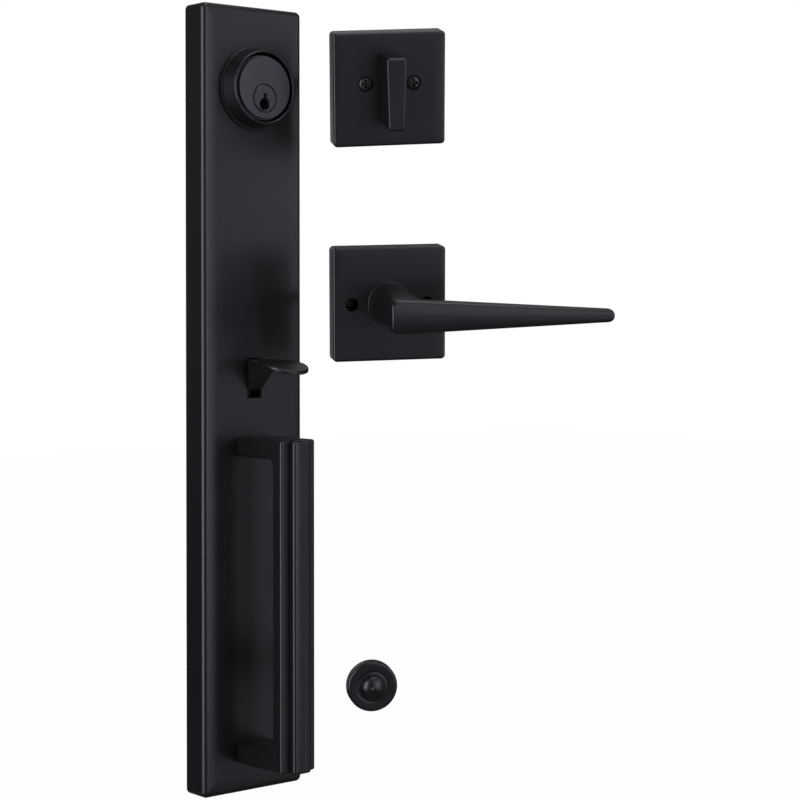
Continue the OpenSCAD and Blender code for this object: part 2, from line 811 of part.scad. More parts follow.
module hub_bracket() {
    color(steel)
        difference() {
            translate([-bracket_w / 2, bracket_front, bracket_low])
                cube([bracket_w, bracket_t, bracket_h]);
            translate([0, 0, latch_z])
                rod(hub_neck_d + 0.3, bracket_front - cut, bracket_back + cut);
            for (side = [-1, 1]) {
                translate([side * latch_post_spacing / 2, 0, latch_z])
                    rod(latch_post_d + 0.4, bracket_front - cut, bracket_back + cut);
                translate([side * latch_post_spacing / 2, 0, bracket_screw_z]) {
                    rod(bracket_screw_d + 0.4, bracket_front - cut, bracket_back + cut);
                    turned([
                        [0, -bracket_back + bracket_t * 0.8],
                        [bracket_screw_d / 2 + 0.2, -bracket_back + bracket_t * 0.8],
                        [bracket_screw_d / 2 + 1.5, -bracket_back - 0.05],
                        [0, -bracket_back - 0.05]
                    ]);
                }
            }
        }
}

module bracket_screws() {
    color(steel)
        for (side = [-1, 1])
            translate([side * latch_post_spacing / 2, 0, bracket_screw_z])
                difference() {
                    turned([
                        [0, -bracket_front + bracket_screw_len],
                        [bracket_screw_d / 2 - 0.05, -bracket_front + bracket_screw_len],
                        [bracket_screw_d / 2 - 0.05, -bracket_back + bracket_t * 0.8 - 0.1],
                        [bracket_screw_d / 2 + 1.2, -bracket_back + 0.1],
                        [0, -bracket_back + 0.1]
                    ]);
                    translate([-2, bracket_back - 0.7, -0.35])
                        cube([4, 2, 0.7]);
                }
}

module latch_posts() {
    color(steel)
        for (side = [-1, 1])
            translate([side * latch_post_spacing / 2, 0, latch_z])
                difference() {
                    rod(latch_post_d - 0.05, bracket_front - post_seat_depth + 0.1, latch_post_reach);
                    rod(tap_d, latch_post_reach - latch_tap_depth, latch_post_reach + cut);
                }
}

module grip() {
    color(coat)
        difference() {
            union() {
                translate([0, plate_front, 0])
                    soft_block(grip_w, grip_w, grip_bottom_z, grip_top_z,
                               finger_gap + grip_bar_t, grip_edge_r + 0.4, grip_edge_r);
                translate([0, bar_front + 2 * grip_edge_r, 0])
                    soft_block(strip_w, strip_w, grip_bottom_z, grip_top_z,
                               strip_rise + 2 * grip_edge_r, grip_edge_r + 0.2, grip_edge_r);
            }
            translate([-grip_w, 0, 0])
                rotate([90, 0, 90])
                    linear_extrude(2 * grip_w)
                        polygon(concat(
                            [[plate_front + cut, grip_bottom_z + arm_t]],
                            arc([bar_back + grip_fillet_r, grip_bottom_z + arm_t + grip_fillet_r],
                                grip_fillet_r, 270, 180),
                            arc([bar_back + grip_fillet_r, grip_top_z - arm_t - grip_fillet_r],
                                grip_fillet_r, 180, 90),
                            [[plate_front + cut, grip_top_z - arm_t]]
                        ));
            translate([0, 0, upper_arm_z])
                rod(grip_screw_d + 0.05, plate_front - grip_tap_depth, plate_front + cut);
            translate([0, 0, lower_arm_z])
                rod(grip_post_nose_d + 0.05, plate_front - grip_tap_depth, plate_front + cut);
        }
}

module grip_screw() {
    color(steel)
        translate([0, 0, upper_arm_z])
            difference() {
                union() {
                    rod(grip_screw_d, plate_front - grip_tap_depth + 1, plate_inner + 1.5);
                    rod(grip_head_d, plate_inner + grip_pad_h, plate_inner + grip_pad_h + grip_head_t);
                }
                mirror([0, 1, 0])
                    cross_recess(-plate_inner - grip_pad_h - grip_head_t, 6, 2.2);
            }
}

module grip_post() {
    color(steel)
        translate([0, 0, lower_arm_z])
            difference() {
                union() {
                    rod(grip_post_nose_d, plate_front - grip_tap_depth + 1, plate_inner + 1.5);
                    rod(post_flange_d, plate_inner + grip_pad_h, plate_inner + grip_pad_h + post_flange_t);
                    rod(post_flange_d - 4, plate_inner + grip_pad_h + cut, grip_post_reach);
                }
                rod(finial_bolt_d + 0.1, grip_post_reach - post_bore_depth, grip_post_reach + cut);
            }
}

module deadbolt_rosette() {
    color(coat)
        place_deadbolt()
            difference() {
                union() {
                    cover(rosette_side, rosette_side, rosette_d, rosette_front_wall, rosette_side_wall,
                          rosette_corner_r, rosette_edge_r);
                    rod(turn_bush_d, rosette_inner - cut, turn_bush_back);
                    for (side = [-1, 1])
                        translate([side * cylinder_post_spacing / 2, 0, cylinder_post_rise])
                            rod(screw_boss_d, rosette_inner - cut, 0);
                }
                rod(turn_shank_d + 2 * fit, rosette_front - cut, cut);
                rod(turn_bush_d - 1, turn_bush_back, cut);
                for (side = [-1, 1])
                    translate([side * cylinder_post_spacing / 2, 0, cylinder_post_rise]) {
                        rod(fixing_screw_d + 0.5, rosette_front - cut, cut);
                        rod(deadbolt_head_d + 0.4, rosette_front - cut, rosette_front + head_t - 0.2);
                    }
            }
}

module thumbturn() {
    color(coat)
        place_deadbolt()
            difference() {
                union() {
                    translate([0, turn_back, 0])
                        soft_block(turn_top_w, turn_bottom_w, -turn_len / 2, turn_len / 2,
                                   turn_back - turn_front, turn_corner_r, turn_edge_r);
                    rod(turn_shank_d, turn_back - cut, turn_bush_back + seat);
                    rod(turn_groove_d, turn_bush_back, turn_bush_back + seat + clip_t);
                    rod(turn_shank_d, turn_bush_back + seat + clip_t, turn_shank_back);
                }
                rod(turn_spindle_d + 0.05, turn_shank_back - spindle_seat_depth, turn_shank_back + cut);
            }
}

module turn_spindle() {
    color(steel)
        place_deadbolt()
            difference() {
                rod(turn_spindle_d, turn_shank_back - spindle_seat_depth + 0.1, turn_spindle_reach);
                translate([-(tailpiece_w + tail_play) / 2, turn_spindle_reach - tail_fork_depth,
                           -(tailpiece_t + tail_play) / 2])
                    cube([tailpiece_w + tail_play, tail_fork_depth + cut, tailpiece_t + tail_play]);
            }
}

module turn_clip() {
    color(spring_steel)
        place_deadbolt()
            snap_ring(turn_groove_d + fit, turn_shank_d + 4,
                      turn_bush_back + seat + 0.05, turn_bush_back + seat + clip_t - 0.05);
}

// Long fixing screw with its head's underside at the given depth and a threaded end thicker
// than its shank
module fixing_screw(head_d, seat_y, length) {
    difference() {
        union() {
            turned([
                [0, -seat_y],
                [head_d / 2, -seat_y],
                [head_d / 2, -seat_y + head_t - 0.7],
                [head_d / 2 - 0.6, -seat_y + head_t - 0.2],
                [head_d / 4, -seat_y + head_t],
                [0, -seat_y + head_t]
            ]);
            rod(screw_shank_d, seat_y - cut / 2, length - thread_len + cut);
            rod(fixing_screw_d - 0.2, length - thread_len, length);
        }
        cross_recess(seat_y - head_t, head_d * 0.62, 1.7);
    }
}

module deadbolt_screws() {
    color(coat)
        place_deadbolt()
            for (side = [-1, 1])
                translate([side * cylinder_post_spacing / 2, 0, cylinder_post_rise])
                    fixing_screw(deadbolt_head_d, rosette_front + head_t - 0.2, fixing_screw_reach);
}

module lever_rosette() {
    color(coat)
        place_lever()
            difference() {
                union() {
                    cover(rosette_side, rosette_side, rosette_d, rosette_front_wall, rosette_side_wall,
                          rosette_corner_r, rosette_edge_r);
                    for (side = [-1, 1])
                        translate([side * latch_post_spacing / 2, 0, 0])
                            rod(lever_sink_d + 3.6, rosette_inner - cut, cage_floor_front);
                }
                rod(lever_shank_d + 0.6, rosette_front - cut, cut);
                for (side = [-1, 1])
                    translate([side * latch_post_spacing / 2, 0, 0]) {
                        rod(fixing_screw_d + 0.5, rosette_front - cut, cut);
                        rod(lever_sink_d, rosette_front - cut, sink_floor);
                    }
            }
}

module neck_ring() {
    color(coat)
        place_lever()
            turned([
                [lever_shank_d / 2 + 0.3, rosette_d],
                [neck_ring_d / 2, rosette_d],
                [neck_ring_d / 2, rosette_d + neck_ring_t - 0.3],
                [neck_ring_d / 2 - 0.3, rosette_d + neck_ring_t],
                [lever_shank_d / 2 + 0.3, rosette_d + neck_ring_t]
            ]);
}

module lever() {
    color(coat)
        place_lever()
            difference() {
                union() {
                    hull() {
                        rod(neck_d, neck_foot - 0.5, neck_foot, $fn = round_fn);
                        for (side = [-1, 1], high = [-1, 1])
                            translate([side * (lever_heel - lever_root_r), neck_end,
                                       -lever_root_drop + high * (lever_root_h / 2 - lever_root_r)])
                                rod(2 * lever_root_r, 0, 2, $fn = round_fn);
                    }
                    hull() {
                        for (high = [-1, 1])
                            translate([-lever_heel + lever_root_r, lever_back,
                                       -lever_root_drop + high * (lever_root_h / 2 - lever_root_r)])
                                corner_post(lever_root_r, lever_edge_r, lever_root_t);
                        for (high = [-1, 1])
                            translate([lever_len - lever_tip_r, lever_face + lever_tip_t,
                                       -lever_tip_drop + high * (lever_tip_h / 2 - lever_tip_r)])
                                corner_post(lever_tip_r, lever_edge_r, lever_tip_t);
                    }
                    rod(lever_shank_d, neck_foot - cut, lever_shank_back);
                }
                translate([-spindle_side / 2 - fit / 2, spindle_front - 0.3, -spindle_side / 2 - fit / 2])
                    cube([spindle_side + fit, lever_shank_back - spindle_front + cut, spindle_side + fit]);
                translate([0, grub_y, -neck_d])
                    cylinder(d = grub_d + 0.05, h = neck_d - spindle_side / 2);
            }
}

module grub_screw() {
    color(steel)
        place_lever()
            translate([0, grub_y, -spindle_side / 2 - grub_len - 0.2])
                difference() {
                    cylinder(d = grub_d, h = grub_len);
                    translate([0, 0, -cut])
                        cylinder(d = 2.2, h = 2 + cut, $fn = 6);
                }
}

module lever_spindle() {
    color(steel)
        place_lever()
            translate([-spindle_side / 2, spindle_front, -spindle_side / 2])
                cube([spindle_side, lever_spindle_reach - spindle_front, spindle_side]);
}

module lever_hub() {
    color(steel)
        place_lever()
            difference() {
                union() {
                    rod(lever_hub_d, lever_shank_back + 0.2, cage_floor_front - 0.3);
                    rod(lever_sleeve_d, lever_shank_back + 0.2, cage_back + seat + clip_t);
                }
                translate([-spindle_side / 2 - fit / 2, rosette_front, -spindle_side / 2 - fit / 2])
                    cube([spindle_side + fit, rosette_d + 2 * cut, spindle_side + fit]);
            }
}

module lever_clip() {
    color(spring_steel)
        place_lever()
            snap_ring(lever_sleeve_d + fit, lever_sleeve_d + 5, cage_back + seat, cage_back + seat + clip_t - 0.1);
}

module lever_spring() {
    turns = 3;
    pitch = lever_wire_d + fit;
    color(spring_steel)
        place_lever()
            translate([0, cage_floor_front - lever_wire_d / 2 - 0.2, 0])
                rotate([90, 0, 0])
                    coil(lever_hub_d / 2 + lever_wire_d / 2 + 0.6, lever_wire_d, pitch, turns, 3, 3);
}

module spring_cage() {
    color(steel)
        place_lever()
            difference() {
                union() {
                    rod(cage_d, rosette_inner + 0.4, cage_back);
                    translate([-latch_post_spacing / 2 - cage_ear, cage_floor_front, -cage_d / 2 + 2])
                        cube([latch_post_spacing + 2 * cage_ear, cage_wall, cage_d - 4]);
                }
                rod(cage_d - 2 * cage_wall, rosette_inner - cut, cage_floor_front);
                rod(lever_sleeve_d + 0.4, rosette_inner, cut);
                for (side = [-1, 1])
                    translate([side * latch_post_spacing / 2, 0, 0])
                        rod(fixing_screw_d + 0.5, rosette_inner, cut);
            }
}

module lever_screws() {
    color(coat)
        place_lever()
            for (side = [-1, 1])
                translate([side * latch_post_spacing / 2, 0, 0])
                    fixing_screw(lever_head_d, sink_floor, fixing_screw_reach);
}

module finial_cap() {
    color(coat)
        place_finial()
            turned(concat(
                [[finial_bolt_d / 2 + 0.3, 0], [finial_d / 2, 0]],
                arc([finial_d / 2 - 1.5, finial_cap_t - 1.5], 1.5, 0, 90),
                [
                    [finial_head_d / 2 + 2.6, finial_cap_t],
                    [finial_head_d / 2 + 2, finial_cap_t - 0.6],
                    [finial_head_d / 2 + 1.4, finial_cap_t],
                    [finial_head_d / 2, finial_cap_t],
                    [finial_bolt_d / 2 + 0.3, finial_cap_t]
                ]
            ));
}

module finial_bolt() {
    color(coat)
        place_finial()
            turned([
                [0, -finial_bolt_reach],
                [finial_bolt_d / 2, -finial_bolt_reach],
                [finial_bolt_d / 2, thread_len - finial_bolt_reach],
                [bolt_shank_d / 2, thread_len - finial_bolt_reach],
                [bolt_shank_d / 2, finial_cap_t],
                [finial_head_d / 2, finial_cap_t],
                [finial_head_d / 2, finial_cap_t + 1],
                for (a = [11.25:11.25:90])
                    [finial_head_d / 2 * cos(a), finial_cap_t + 1 + (finial_head_h - 1) * sin(a)]
            ]);
}

escutcheon();
cylinder_collar();
cylinder_body();
key_plug();
plug_clip();
tailpiece();
thumb_piece();
thumb_pin();
thumb_spring();
lift_hub();
hub_bracket();
bracket_screws();
latch_posts();
grip();
grip_screw();
grip_post();
deadbolt_rosette();
thumbturn();
turn_spindle();
turn_clip();
deadbolt_screws();
lever_rosette();
neck_ring();
lever();
grub_screw();
lever_spindle();
lever_hub();
lever_clip();
lever_spring();
spring_cage();
lever_screws();
finial_cap();
finial_bolt();
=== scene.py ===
"""Looks of the entry door handleset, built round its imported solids.

Sizes are in millimetres unless a name says otherwise. The fronts face -Y and +Z is up.
"""
import logging
import math
from collections.abc import Callable, Sequence
from dataclasses import dataclass, field
from enum import Enum

import bmesh
import bpy
from mathutils import Matrix, Vector


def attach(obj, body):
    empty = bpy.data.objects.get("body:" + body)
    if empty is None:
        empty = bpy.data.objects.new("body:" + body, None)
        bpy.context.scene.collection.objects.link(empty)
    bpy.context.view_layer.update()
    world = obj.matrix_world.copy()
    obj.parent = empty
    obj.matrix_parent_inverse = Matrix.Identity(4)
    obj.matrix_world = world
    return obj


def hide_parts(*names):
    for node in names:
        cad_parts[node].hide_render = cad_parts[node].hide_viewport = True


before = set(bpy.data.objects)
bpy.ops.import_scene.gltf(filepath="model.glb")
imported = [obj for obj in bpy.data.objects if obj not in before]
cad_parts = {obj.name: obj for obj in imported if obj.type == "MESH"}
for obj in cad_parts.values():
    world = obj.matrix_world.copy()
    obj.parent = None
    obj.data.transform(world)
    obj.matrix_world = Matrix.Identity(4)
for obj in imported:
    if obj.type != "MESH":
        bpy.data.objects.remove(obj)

LOG = logging.getLogger("handleset")
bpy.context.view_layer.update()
MM = 0.001
FULL_TURN = 2 * math.pi

Triple = tuple[float, float, float]
Profile = Sequence[tuple[float, float]]
Shape = bmesh.types.BMesh


class Body(Enum):
    """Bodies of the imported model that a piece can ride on."""

    SET = "set"
    PLUG = "plug"
    THUMB = "thumb"
    HUB = "hub"
    TURN = "turn"
    LEVER = "lever"


class Slot(Enum):
    """Material slots of the record."""

    BLACK = "satin_black"
    FACE = "cylinder_face"
    SCREWS = "black_screws"
    PLATED = "plated_steel"
    SPRING = "spring_steel"


# ---- finishes ----


class Board:
    """Node tree that a finish or an effect is wired on."""

    def __init__(self, tree: bpy.types.NodeTree) -> None:
        """Takes a tree and starts counting its nodes' places."""
        self.tree = tree
        self.count = 0

    def add(self, kind: str, **settings: object) -> bpy.types.Node:
        """Adds a node.

        Args:
            kind: Type name of the node.
            **settings: Properties of the node, by name.

        Returns:
            The new node.
        """
        node = self.tree.nodes.new(kind)
        for key, value in settings.items():
            setattr(node, key, value)
        node.location = (220 * (self.count % 8), -260 * (self.count // 8))
        self.count += 1
        return node

    @staticmethod
    def fill(node: bpy.types.Node, values: dict[str, object]) -> None:
        """Sets the defaults of a node's inputs, by their names."""
        for label, value in values.items():
            node.inputs[label].default_value = value

    def link(self, start: bpy.types.Node, output: str | int, end: bpy.types.Node, label: str | int) -> None:
        """Links an output of one node to an input of another."""
        self.tree.links.new(start.outputs[output], end.inputs[label])


class Effects:
    """Shared node groups, each built once."""

    def __init__(self) -> None:
        """Builds every group that the finishes use."""
        self.spray = self._spray_grain()
        self.drift = self._tone_drift()
        self.drawn = self._drawn_lines()
        self.rings = self._turned_rings()

    @staticmethod
    def _group(name: str, inputs: Sequence[tuple[str, str, object]],
               outputs: Sequence[tuple[str, str]]) -> tuple[Board, bpy.types.Node, bpy.types.Node]:
        """Starts a node group with its sockets.

        Args:
            name: Name of the group.
            inputs: Name, socket type and default of each input.
            outputs: Name and socket type of each output.

        Returns:
            The board, the group's input node and its output node.
        """
        tree = bpy.data.node_groups.new(name, "ShaderNodeTree")
        for label, kind, default in inputs:
            socket = tree.interface.new_socket(name=label, in_out="INPUT", socket_type=kind)
            socket.default_value = default
        for label, kind in outputs:
            tree.interface.new_socket(name=label, in_out="OUTPUT", socket_type=kind)
        board = Board(tree)
        return board, board.add("NodeGroupInput"), board.add("NodeGroupOutput")

    @staticmethod
    def _lined(board: Board, source: bpy.types.Node, sink: bpy.types.Node, rate: str, strength: float,
               **settings: object) -> bpy.types.Node:
        """Adds fine lines, given out as a normal and a mask, and returns the node that draws them."""
        lines = board.add("ShaderNodeTexNoise", **settings)
        lines.inputs["Detail"].default_value = 3.0
        bump = board.add("ShaderNodeBump")
        bump.inputs["Strength"].default_value = strength
        board.link(source, rate, lines, "Scale")
        board.link(lines, "Fac", bump, "Height")
        board.link(source, "Depth", bump, "Distance")
        board.link(bump, "Normal", sink, "Normal")
        board.link(lines, "Fac", sink, "Mask")
        return lines

    def _spray_grain(self) -> bpy.types.NodeTree:
        """Returns the fine pebbled skin of a sprayed coat, as a normal and a mask."""
        board, source, sink = self._group(
            "spray_grain",
            [("Grains per metre", "NodeSocketFloat", 1500.0), ("Depth", "NodeSocketFloat", 0.00002),
             ("Strength", "NodeSocketFloat", 0.2)],
            [("Normal", "NodeSocketVector"), ("Mask", "NodeSocketFloat")])
        place = board.add("ShaderNodeTexCoord")
        fine = board.add("ShaderNodeTexNoise")
        board.fill(fine, {"Detail": 2.0, "Roughness": 0.55})
        cells = board.add("ShaderNodeTexVoronoi", feature="SMOOTH_F1")
        cells.inputs["Smoothness"].default_value = 0.8
        blend = board.add("ShaderNodeMath", operation="MULTIPLY_ADD")
        blend.inputs[1].default_value = 0.6
        bump = board.add("ShaderNodeBump")
        for texture in (fine, cells):
            board.link(place, "Object", texture, "Vector")
            board.link(source, "Grains per metre", texture, "Scale")
        board.link(cells, "Distance", blend, 0)
        board.link(fine, "Fac", blend, 2)
        board.link(blend, 0, bump, "Height")
        board.link(source, "Depth", bump, "Distance")
        board.link(source, "Strength", bump, "Strength")
        board.link(bump, "Normal", sink, "Normal")
        board.link(fine, "Fac", sink, "Mask")
        return board.tree

    def _tone_drift(self) -> bpy.types.NodeTree:
        """Returns a slow cloudy drift between two tones and between two values."""
        board, source, sink = self._group(
            "tone_drift",
            [("Tone", "NodeSocketColor", (0.1, 0.1, 0.1, 1)),
             ("Other tone", "NodeSocketColor", (0.1, 0.1, 0.1, 1)),
             ("Low", "NodeSocketFloat", 0.3), ("High", "NodeSocketFloat", 0.4),
             ("Clouds per metre", "NodeSocketFloat", 30.0)],
            [("Colour", "NodeSocketColor"), ("Value", "NodeSocketFloat")])
        place = board.add("ShaderNodeTexCoord")
        cloud = board.add("ShaderNodeTexNoise")
        cloud.inputs["Detail"].default_value = 4.0
        mix = board.add("ShaderNodeMix", data_type="RGBA")
        spread = board.add("ShaderNodeMapRange")
        board.fill(spread, {"From Min": 0.3, "From Max": 0.7})
        board.link(place, "Object", cloud, "Vector")
        board.link(source, "Clouds per metre", cloud, "Scale")
        board.link(cloud, "Fac", mix, "Factor")
        board.link(source, "Tone", mix, "A")
        board.link(source, "Other tone", mix, "B")
        board.link(cloud, "Fac", spread, "Value")
        board.link(source, "Low", spread, "To Min")
        board.link(source, "High", spread, "To Max")
        board.link(mix, "Result", sink, "Colour")
        board.link(spread, "Result", sink, "Value")
        return board.tree

    def _drawn_lines(self) -> bpy.types.NodeTree:
        """Returns fine drawn or rolled lines along one axis, as a normal and a mask."""
        board, source, sink = self._group(
            "drawn_lines",
            [("Stretch", "NodeSocketVector", (1.0, 0.03, 1.0)), ("Lines per metre", "NodeSocketFloat", 3000.0),
             ("Depth", "NodeSocketFloat", 0.00001)],
            [("Normal", "NodeSocketVector"), ("Mask", "NodeSocketFloat")])
        place = board.add("ShaderNodeTexCoord")
        stretch = board.add("ShaderNodeVectorMath", operation="MULTIPLY")
        lines = self._lined(board, source, sink, "Lines per metre", 0.5)
        board.link(place, "Object", stretch, 0)
        board.link(source, "Stretch", stretch, 1)
        board.link(stretch, "Vector", lines, "Vector")
        return board.tree

    def _turned_rings(self) -> bpy.types.NodeTree:
        """Returns the faint rings that a lathe leaves round an axis along Y."""
        board, source, sink = self._group(
            "turned_rings",
            [("Centre", "NodeSocketVector", (0.0, 0.0, 0.0)), ("Rings per metre", "NodeSocketFloat", 2500.0),
             ("Depth", "NodeSocketFloat", 0.00001)],
            [("Normal", "NodeSocketVector"), ("Mask", "NodeSocketFloat")])
        place = board.add("ShaderNodeTexCoord")
        centred = board.add("ShaderNodeVectorMath", operation="SUBTRACT")
        flat = board.add("ShaderNodeVectorMath", operation="MULTIPLY")
        flat.inputs[1].default_value = (1, 0, 1)
        reach = board.add("ShaderNodeVectorMath", operation="LENGTH")
        lines = self._lined(board, source, sink, "Rings per metre", 0.4, noise_dimensions="1D")
        board.link(place, "Object", centred, 0)
        board.link(source, "Centre", centred, 1)
        board.link(centred, "Vector", flat, 0)
        board.link(flat, "Vector", reach, 0)
        board.link(reach, "Value", lines, "W")
        return board.tree


@dataclass(frozen=True)
class Finish:
    """One surface finish: two near tones, a roughness range and a fine relief."""

    name: str
    tone: Triple
    other_tone: Triple
    rough_low: float
    rough_high: float
    metallic: float = 0.0
    specular: float = 0.5
    tint: Triple = (1.0, 1.0, 1.0)
    clouds: float = 25.0

    def relief(self, board: Board, effects: Effects) -> bpy.types.Node:
        """Returns the node that gives this finish's fine relief, the sprayed grain."""
        grain = board.add("ShaderNodeGroup", node_tree=effects.spray)
        board.fill(grain, {"Grains per metre": 1300.0, "Depth": 0.00003, "Strength": 0.12})
        return grain

    def build(self, effects: Effects) -> bpy.types.Material:
        """Builds the material.

        Args:
            effects: The shared node groups.

        Returns:
            The finished material.
        """
        material = bpy.data.materials.new(self.name)
        material.use_nodes = True
        board = Board(material.node_tree)
        material.node_tree.nodes.clear()
        sink = board.add("ShaderNodeOutputMaterial")
        shader = board.add("ShaderNodeBsdfPrincipled")
        board.fill(shader, {"Metallic": self.metallic, "Specular IOR Level": self.specular,
                            "Specular Tint": (*self.tint, 1)})
        drift = board.add("ShaderNodeGroup", node_tree=effects.drift)
        board.fill(drift, {"Tone": (*self.tone, 1), "Other tone": (*self.other_tone, 1), "Low": self.rough_low,
                           "High": self.rough_high, "Clouds per metre": self.clouds})
        board.link(drift, "Colour", shader, "Base Color")
        board.link(drift, "Value", shader, "Roughness")
        board.link(self.relief(board, effects), "Normal", shader, "Normal")
        board.link(shader, "BSDF", sink, "Surface")
        return material


@dataclass(frozen=True)
class DrawnMetal(Finish):
    """Bare or plated metal with fine lines along one axis."""

    stretch: Triple = (1.0, 0.03, 1.0)

    def relief(self, board: Board, effects: Effects) -> bpy.types.Node:
        """Returns the node that gives the drawn lines."""
        lines = board.add("ShaderNodeGroup", node_tree=effects.drawn)
        board.fill(lines, {"Stretch": self.stretch, "Depth": 0.00002})
        return lines


@dataclass(frozen=True)
class TurnedFace(Finish):
    """Lathe-turned face with faint rings round a centre."""

    centre: Triple = (0.0, 0.0, 0.0)

    def relief(self, board: Board, effects: Effects) -> bpy.types.Node:
        """Returns the node that gives the rings."""
        rings = board.add("ShaderNodeGroup", node_tree=effects.rings)
        board.fill(rings, {"Centre": self.centre, "Depth": 0.00001})
        return rings


FINISHES = {
    "satin_coat": Finish("satin_black_coat", (0.0052, 0.0054, 0.0064), (0.0064, 0.0066, 0.0077), 0.29, 0.33,
                         tint=(0.84, 0.88, 1.0)),
    "screw_coat": Finish("black_oxide_screws", (0.024, 0.025, 0.028), (0.040, 0.041, 0.045), 0.26, 0.36,
                         metallic=0.3),
    "cylinder_face": TurnedFace("turned_dark_face", (0.040, 0.042, 0.056), (0.047, 0.049, 0.064), 0.34, 0.40,
                                centre=(0.0, 0.0, 0.187)),
    "zinc_plate": DrawnMetal("zinc_plated_steel", (0.46, 0.47, 0.50), (0.56, 0.56, 0.56), 0.28, 0.40,
                             metallic=1.0, stretch=(0.05, 1.0, 1.0)),
    "spring_wire": DrawnMetal("drawn_spring_steel", (0.30, 0.30, 0.32), (0.40, 0.40, 0.41), 0.24, 0.34,
                              metallic=1.0, stretch=(1.0, 1.0, 0.08)),
}
FINISH_OF_SLOT = {
    Slot.BLACK: "satin_coat",
    Slot.SCREWS: "screw_coat",
    Slot.FACE: "cylinder_face",
    Slot.PLATED: "zinc_plate",
    Slot.SPRING: "spring_wire",
}


class Workshop:
    """Makes shapes with bmesh operators and turns them into dressed pieces."""

    SMOOTH_ANGLE = math.radians(38)

    def __init__(self) -> None:
        """Builds the shared effects and every finish."""
        effects = Effects()
        self.materials = {key: finish.build(effects) for key, finish in FINISHES.items()}

    # shapes

    @staticmethod
    def lathe(profile: Profile, steps: int = 96) -> Shape:
        """Turns a profile round the Y axis.

        Args:
            profile: Radius and depth in front of the origin of each point.
            steps: Number of faces round the axis.

        Returns:
            The turned shape, closed, with its faces outwards.
        """
        bm = bmesh.new()
        verts = [bm.verts.new((radius, -depth, 0)) for radius, depth in profile]
        for first, second in zip(verts, verts[1:] + verts[:1]):
            if first.co.x > 0 or second.co.x > 0:
                bm.edges.new((first, second))
        bmesh.ops.spin(bm, geom=bm.verts[:] + bm.edges[:], cent=(0, 0, 0), axis=(0, 1, 0), dvec=(0, 0, 0),
                       angle=FULL_TURN, steps=steps, use_merge=True, use_duplicate=False)
        bmesh.ops.remove_doubles(bm, verts=bm.verts, dist=1e-4)
        bmesh.ops.recalc_face_normals(bm, faces=bm.faces)
        return bm

    @staticmethod
    def block(low: Sequence[float], high: Sequence[float]) -> Shape:
        """Returns a square block between two corners."""
        bm = bmesh.new()
        bmesh.ops.create_cube(bm, size=1.0)
        size = [b - a for a, b in zip(low, high)]
        middle = [(a + b) / 2 for a, b in zip(low, high)]
        bmesh.ops.scale(bm, vec=size, verts=bm.verts)
        bmesh.ops.translate(bm, vec=middle, verts=bm.verts)
        return bm

    @staticmethod
    def prism(outline: Sequence[Sequence[float]], along: Sequence[float]) -> Shape:
        """Extrudes a flat outline.

        Args:
            outline: Points of the outline in space, in order.
            along: Way and length of the extrusion.

        Returns:
            The closed prism, faces outwards.
        """
        bm = bmesh.new()
        face = bm.faces.new([bm.verts.new(point) for point in outline])
        grown = bmesh.ops.extrude_face_region(bm, geom=[face], use_keep_orig=True)
        moved = [item for item in grown["geom"] if isinstance(item, bmesh.types.BMVert)]
        bmesh.ops.translate(bm, vec=along, verts=moved)
        bmesh.ops.recalc_face_normals(bm, faces=bm.faces)
        return bm

    @staticmethod
    def joined(*parts: Shape) -> Shape:
        """Puts several shapes into one and frees them."""
        whole = bmesh.new()
        for part in parts:
            mesh = bpy.data.meshes.new("passing")
            part.to_mesh(mesh)
            part.free()
            whole.from_mesh(mesh)
            bpy.data.meshes.remove(mesh)
        return whole

    @staticmethod
    def moved(bm: Shape, offset: Sequence[float]) -> Shape:
        """Moves a shape and returns it."""
        bmesh.ops.translate(bm, vec=offset, verts=bm.verts)
        return bm

    @staticmethod
    def round_edges(bm: Shape, edges: Sequence[bmesh.types.BMEdge], radius: float,
                    segments: int = 3, clamp: bool = True) -> None:
        """Rounds the given edges.

        Args:
            bm: Shape to work on.
            edges: Edges to round.
            radius: Radius of the rounding.
            segments: Steps of the rounding.
            clamp: Holds the radius back where roundings would meet.
        """
        bmesh.ops.bevel(bm, geom=list(edges), offset=radius, offset_type="OFFSET", affect="EDGES",
                        segments=segments, profile=0.5, clamp_overlap=clamp, material=-1)

    @staticmethod
    def corners(bm: Shape) -> list[bmesh.types.BMEdge]:
        """Returns the edges that run from front to back."""
        return [e for e in bm.edges if abs(e.verts[0].co.y - e.verts[1].co.y) > 1]

    @staticmethod
    def front_rim(bm: Shape, front: float) -> list[bmesh.types.BMEdge]:
        """Returns the sharp edges round a front that lies at the given y."""
        return [e for e in bm.edges
                if all(v.co.y < front + 0.01 for v in e.verts) and e.calc_face_angle(0.0) > 1.0]

    def round_where(self, bm: Shape, radius: float, segments: int = 3, angle: float = 40.0,
                    keep: Callable[[bmesh.types.BMEdge], bool] = lambda edge: True) -> None:
        """Rounds the edges sharper than an angle.

        Args:
            bm: Shape to work on.
            radius: Radius of the rounding.
            segments: Steps of the rounding.
            angle: Least angle between two faces, in degrees.
            keep: Tells whether an edge may be rounded.
        """
        sharp = [edge for edge in bm.edges
                 if len(edge.link_faces) == 2 and edge.calc_face_angle(0.0) > math.radians(angle) and keep(edge)]
        self.round_edges(bm, sharp, radius, segments)

    @staticmethod
    def from_node(node: str) -> Shape:
        """Returns a merged copy of a solid's mesh in millimetres, with its flat faces whole."""
        bm = bmesh.new()
        bm.from_mesh(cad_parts[node].data)
        bmesh.ops.scale(bm, vec=(1 / MM, 1 / MM, 1 / MM), verts=bm.verts)
        bmesh.ops.remove_doubles(bm, verts=bm.verts, dist=1e-3)
        bmesh.ops.dissolve_limit(bm, angle_limit=math.radians(0.6), verts=bm.verts, edges=bm.edges)
        return bm

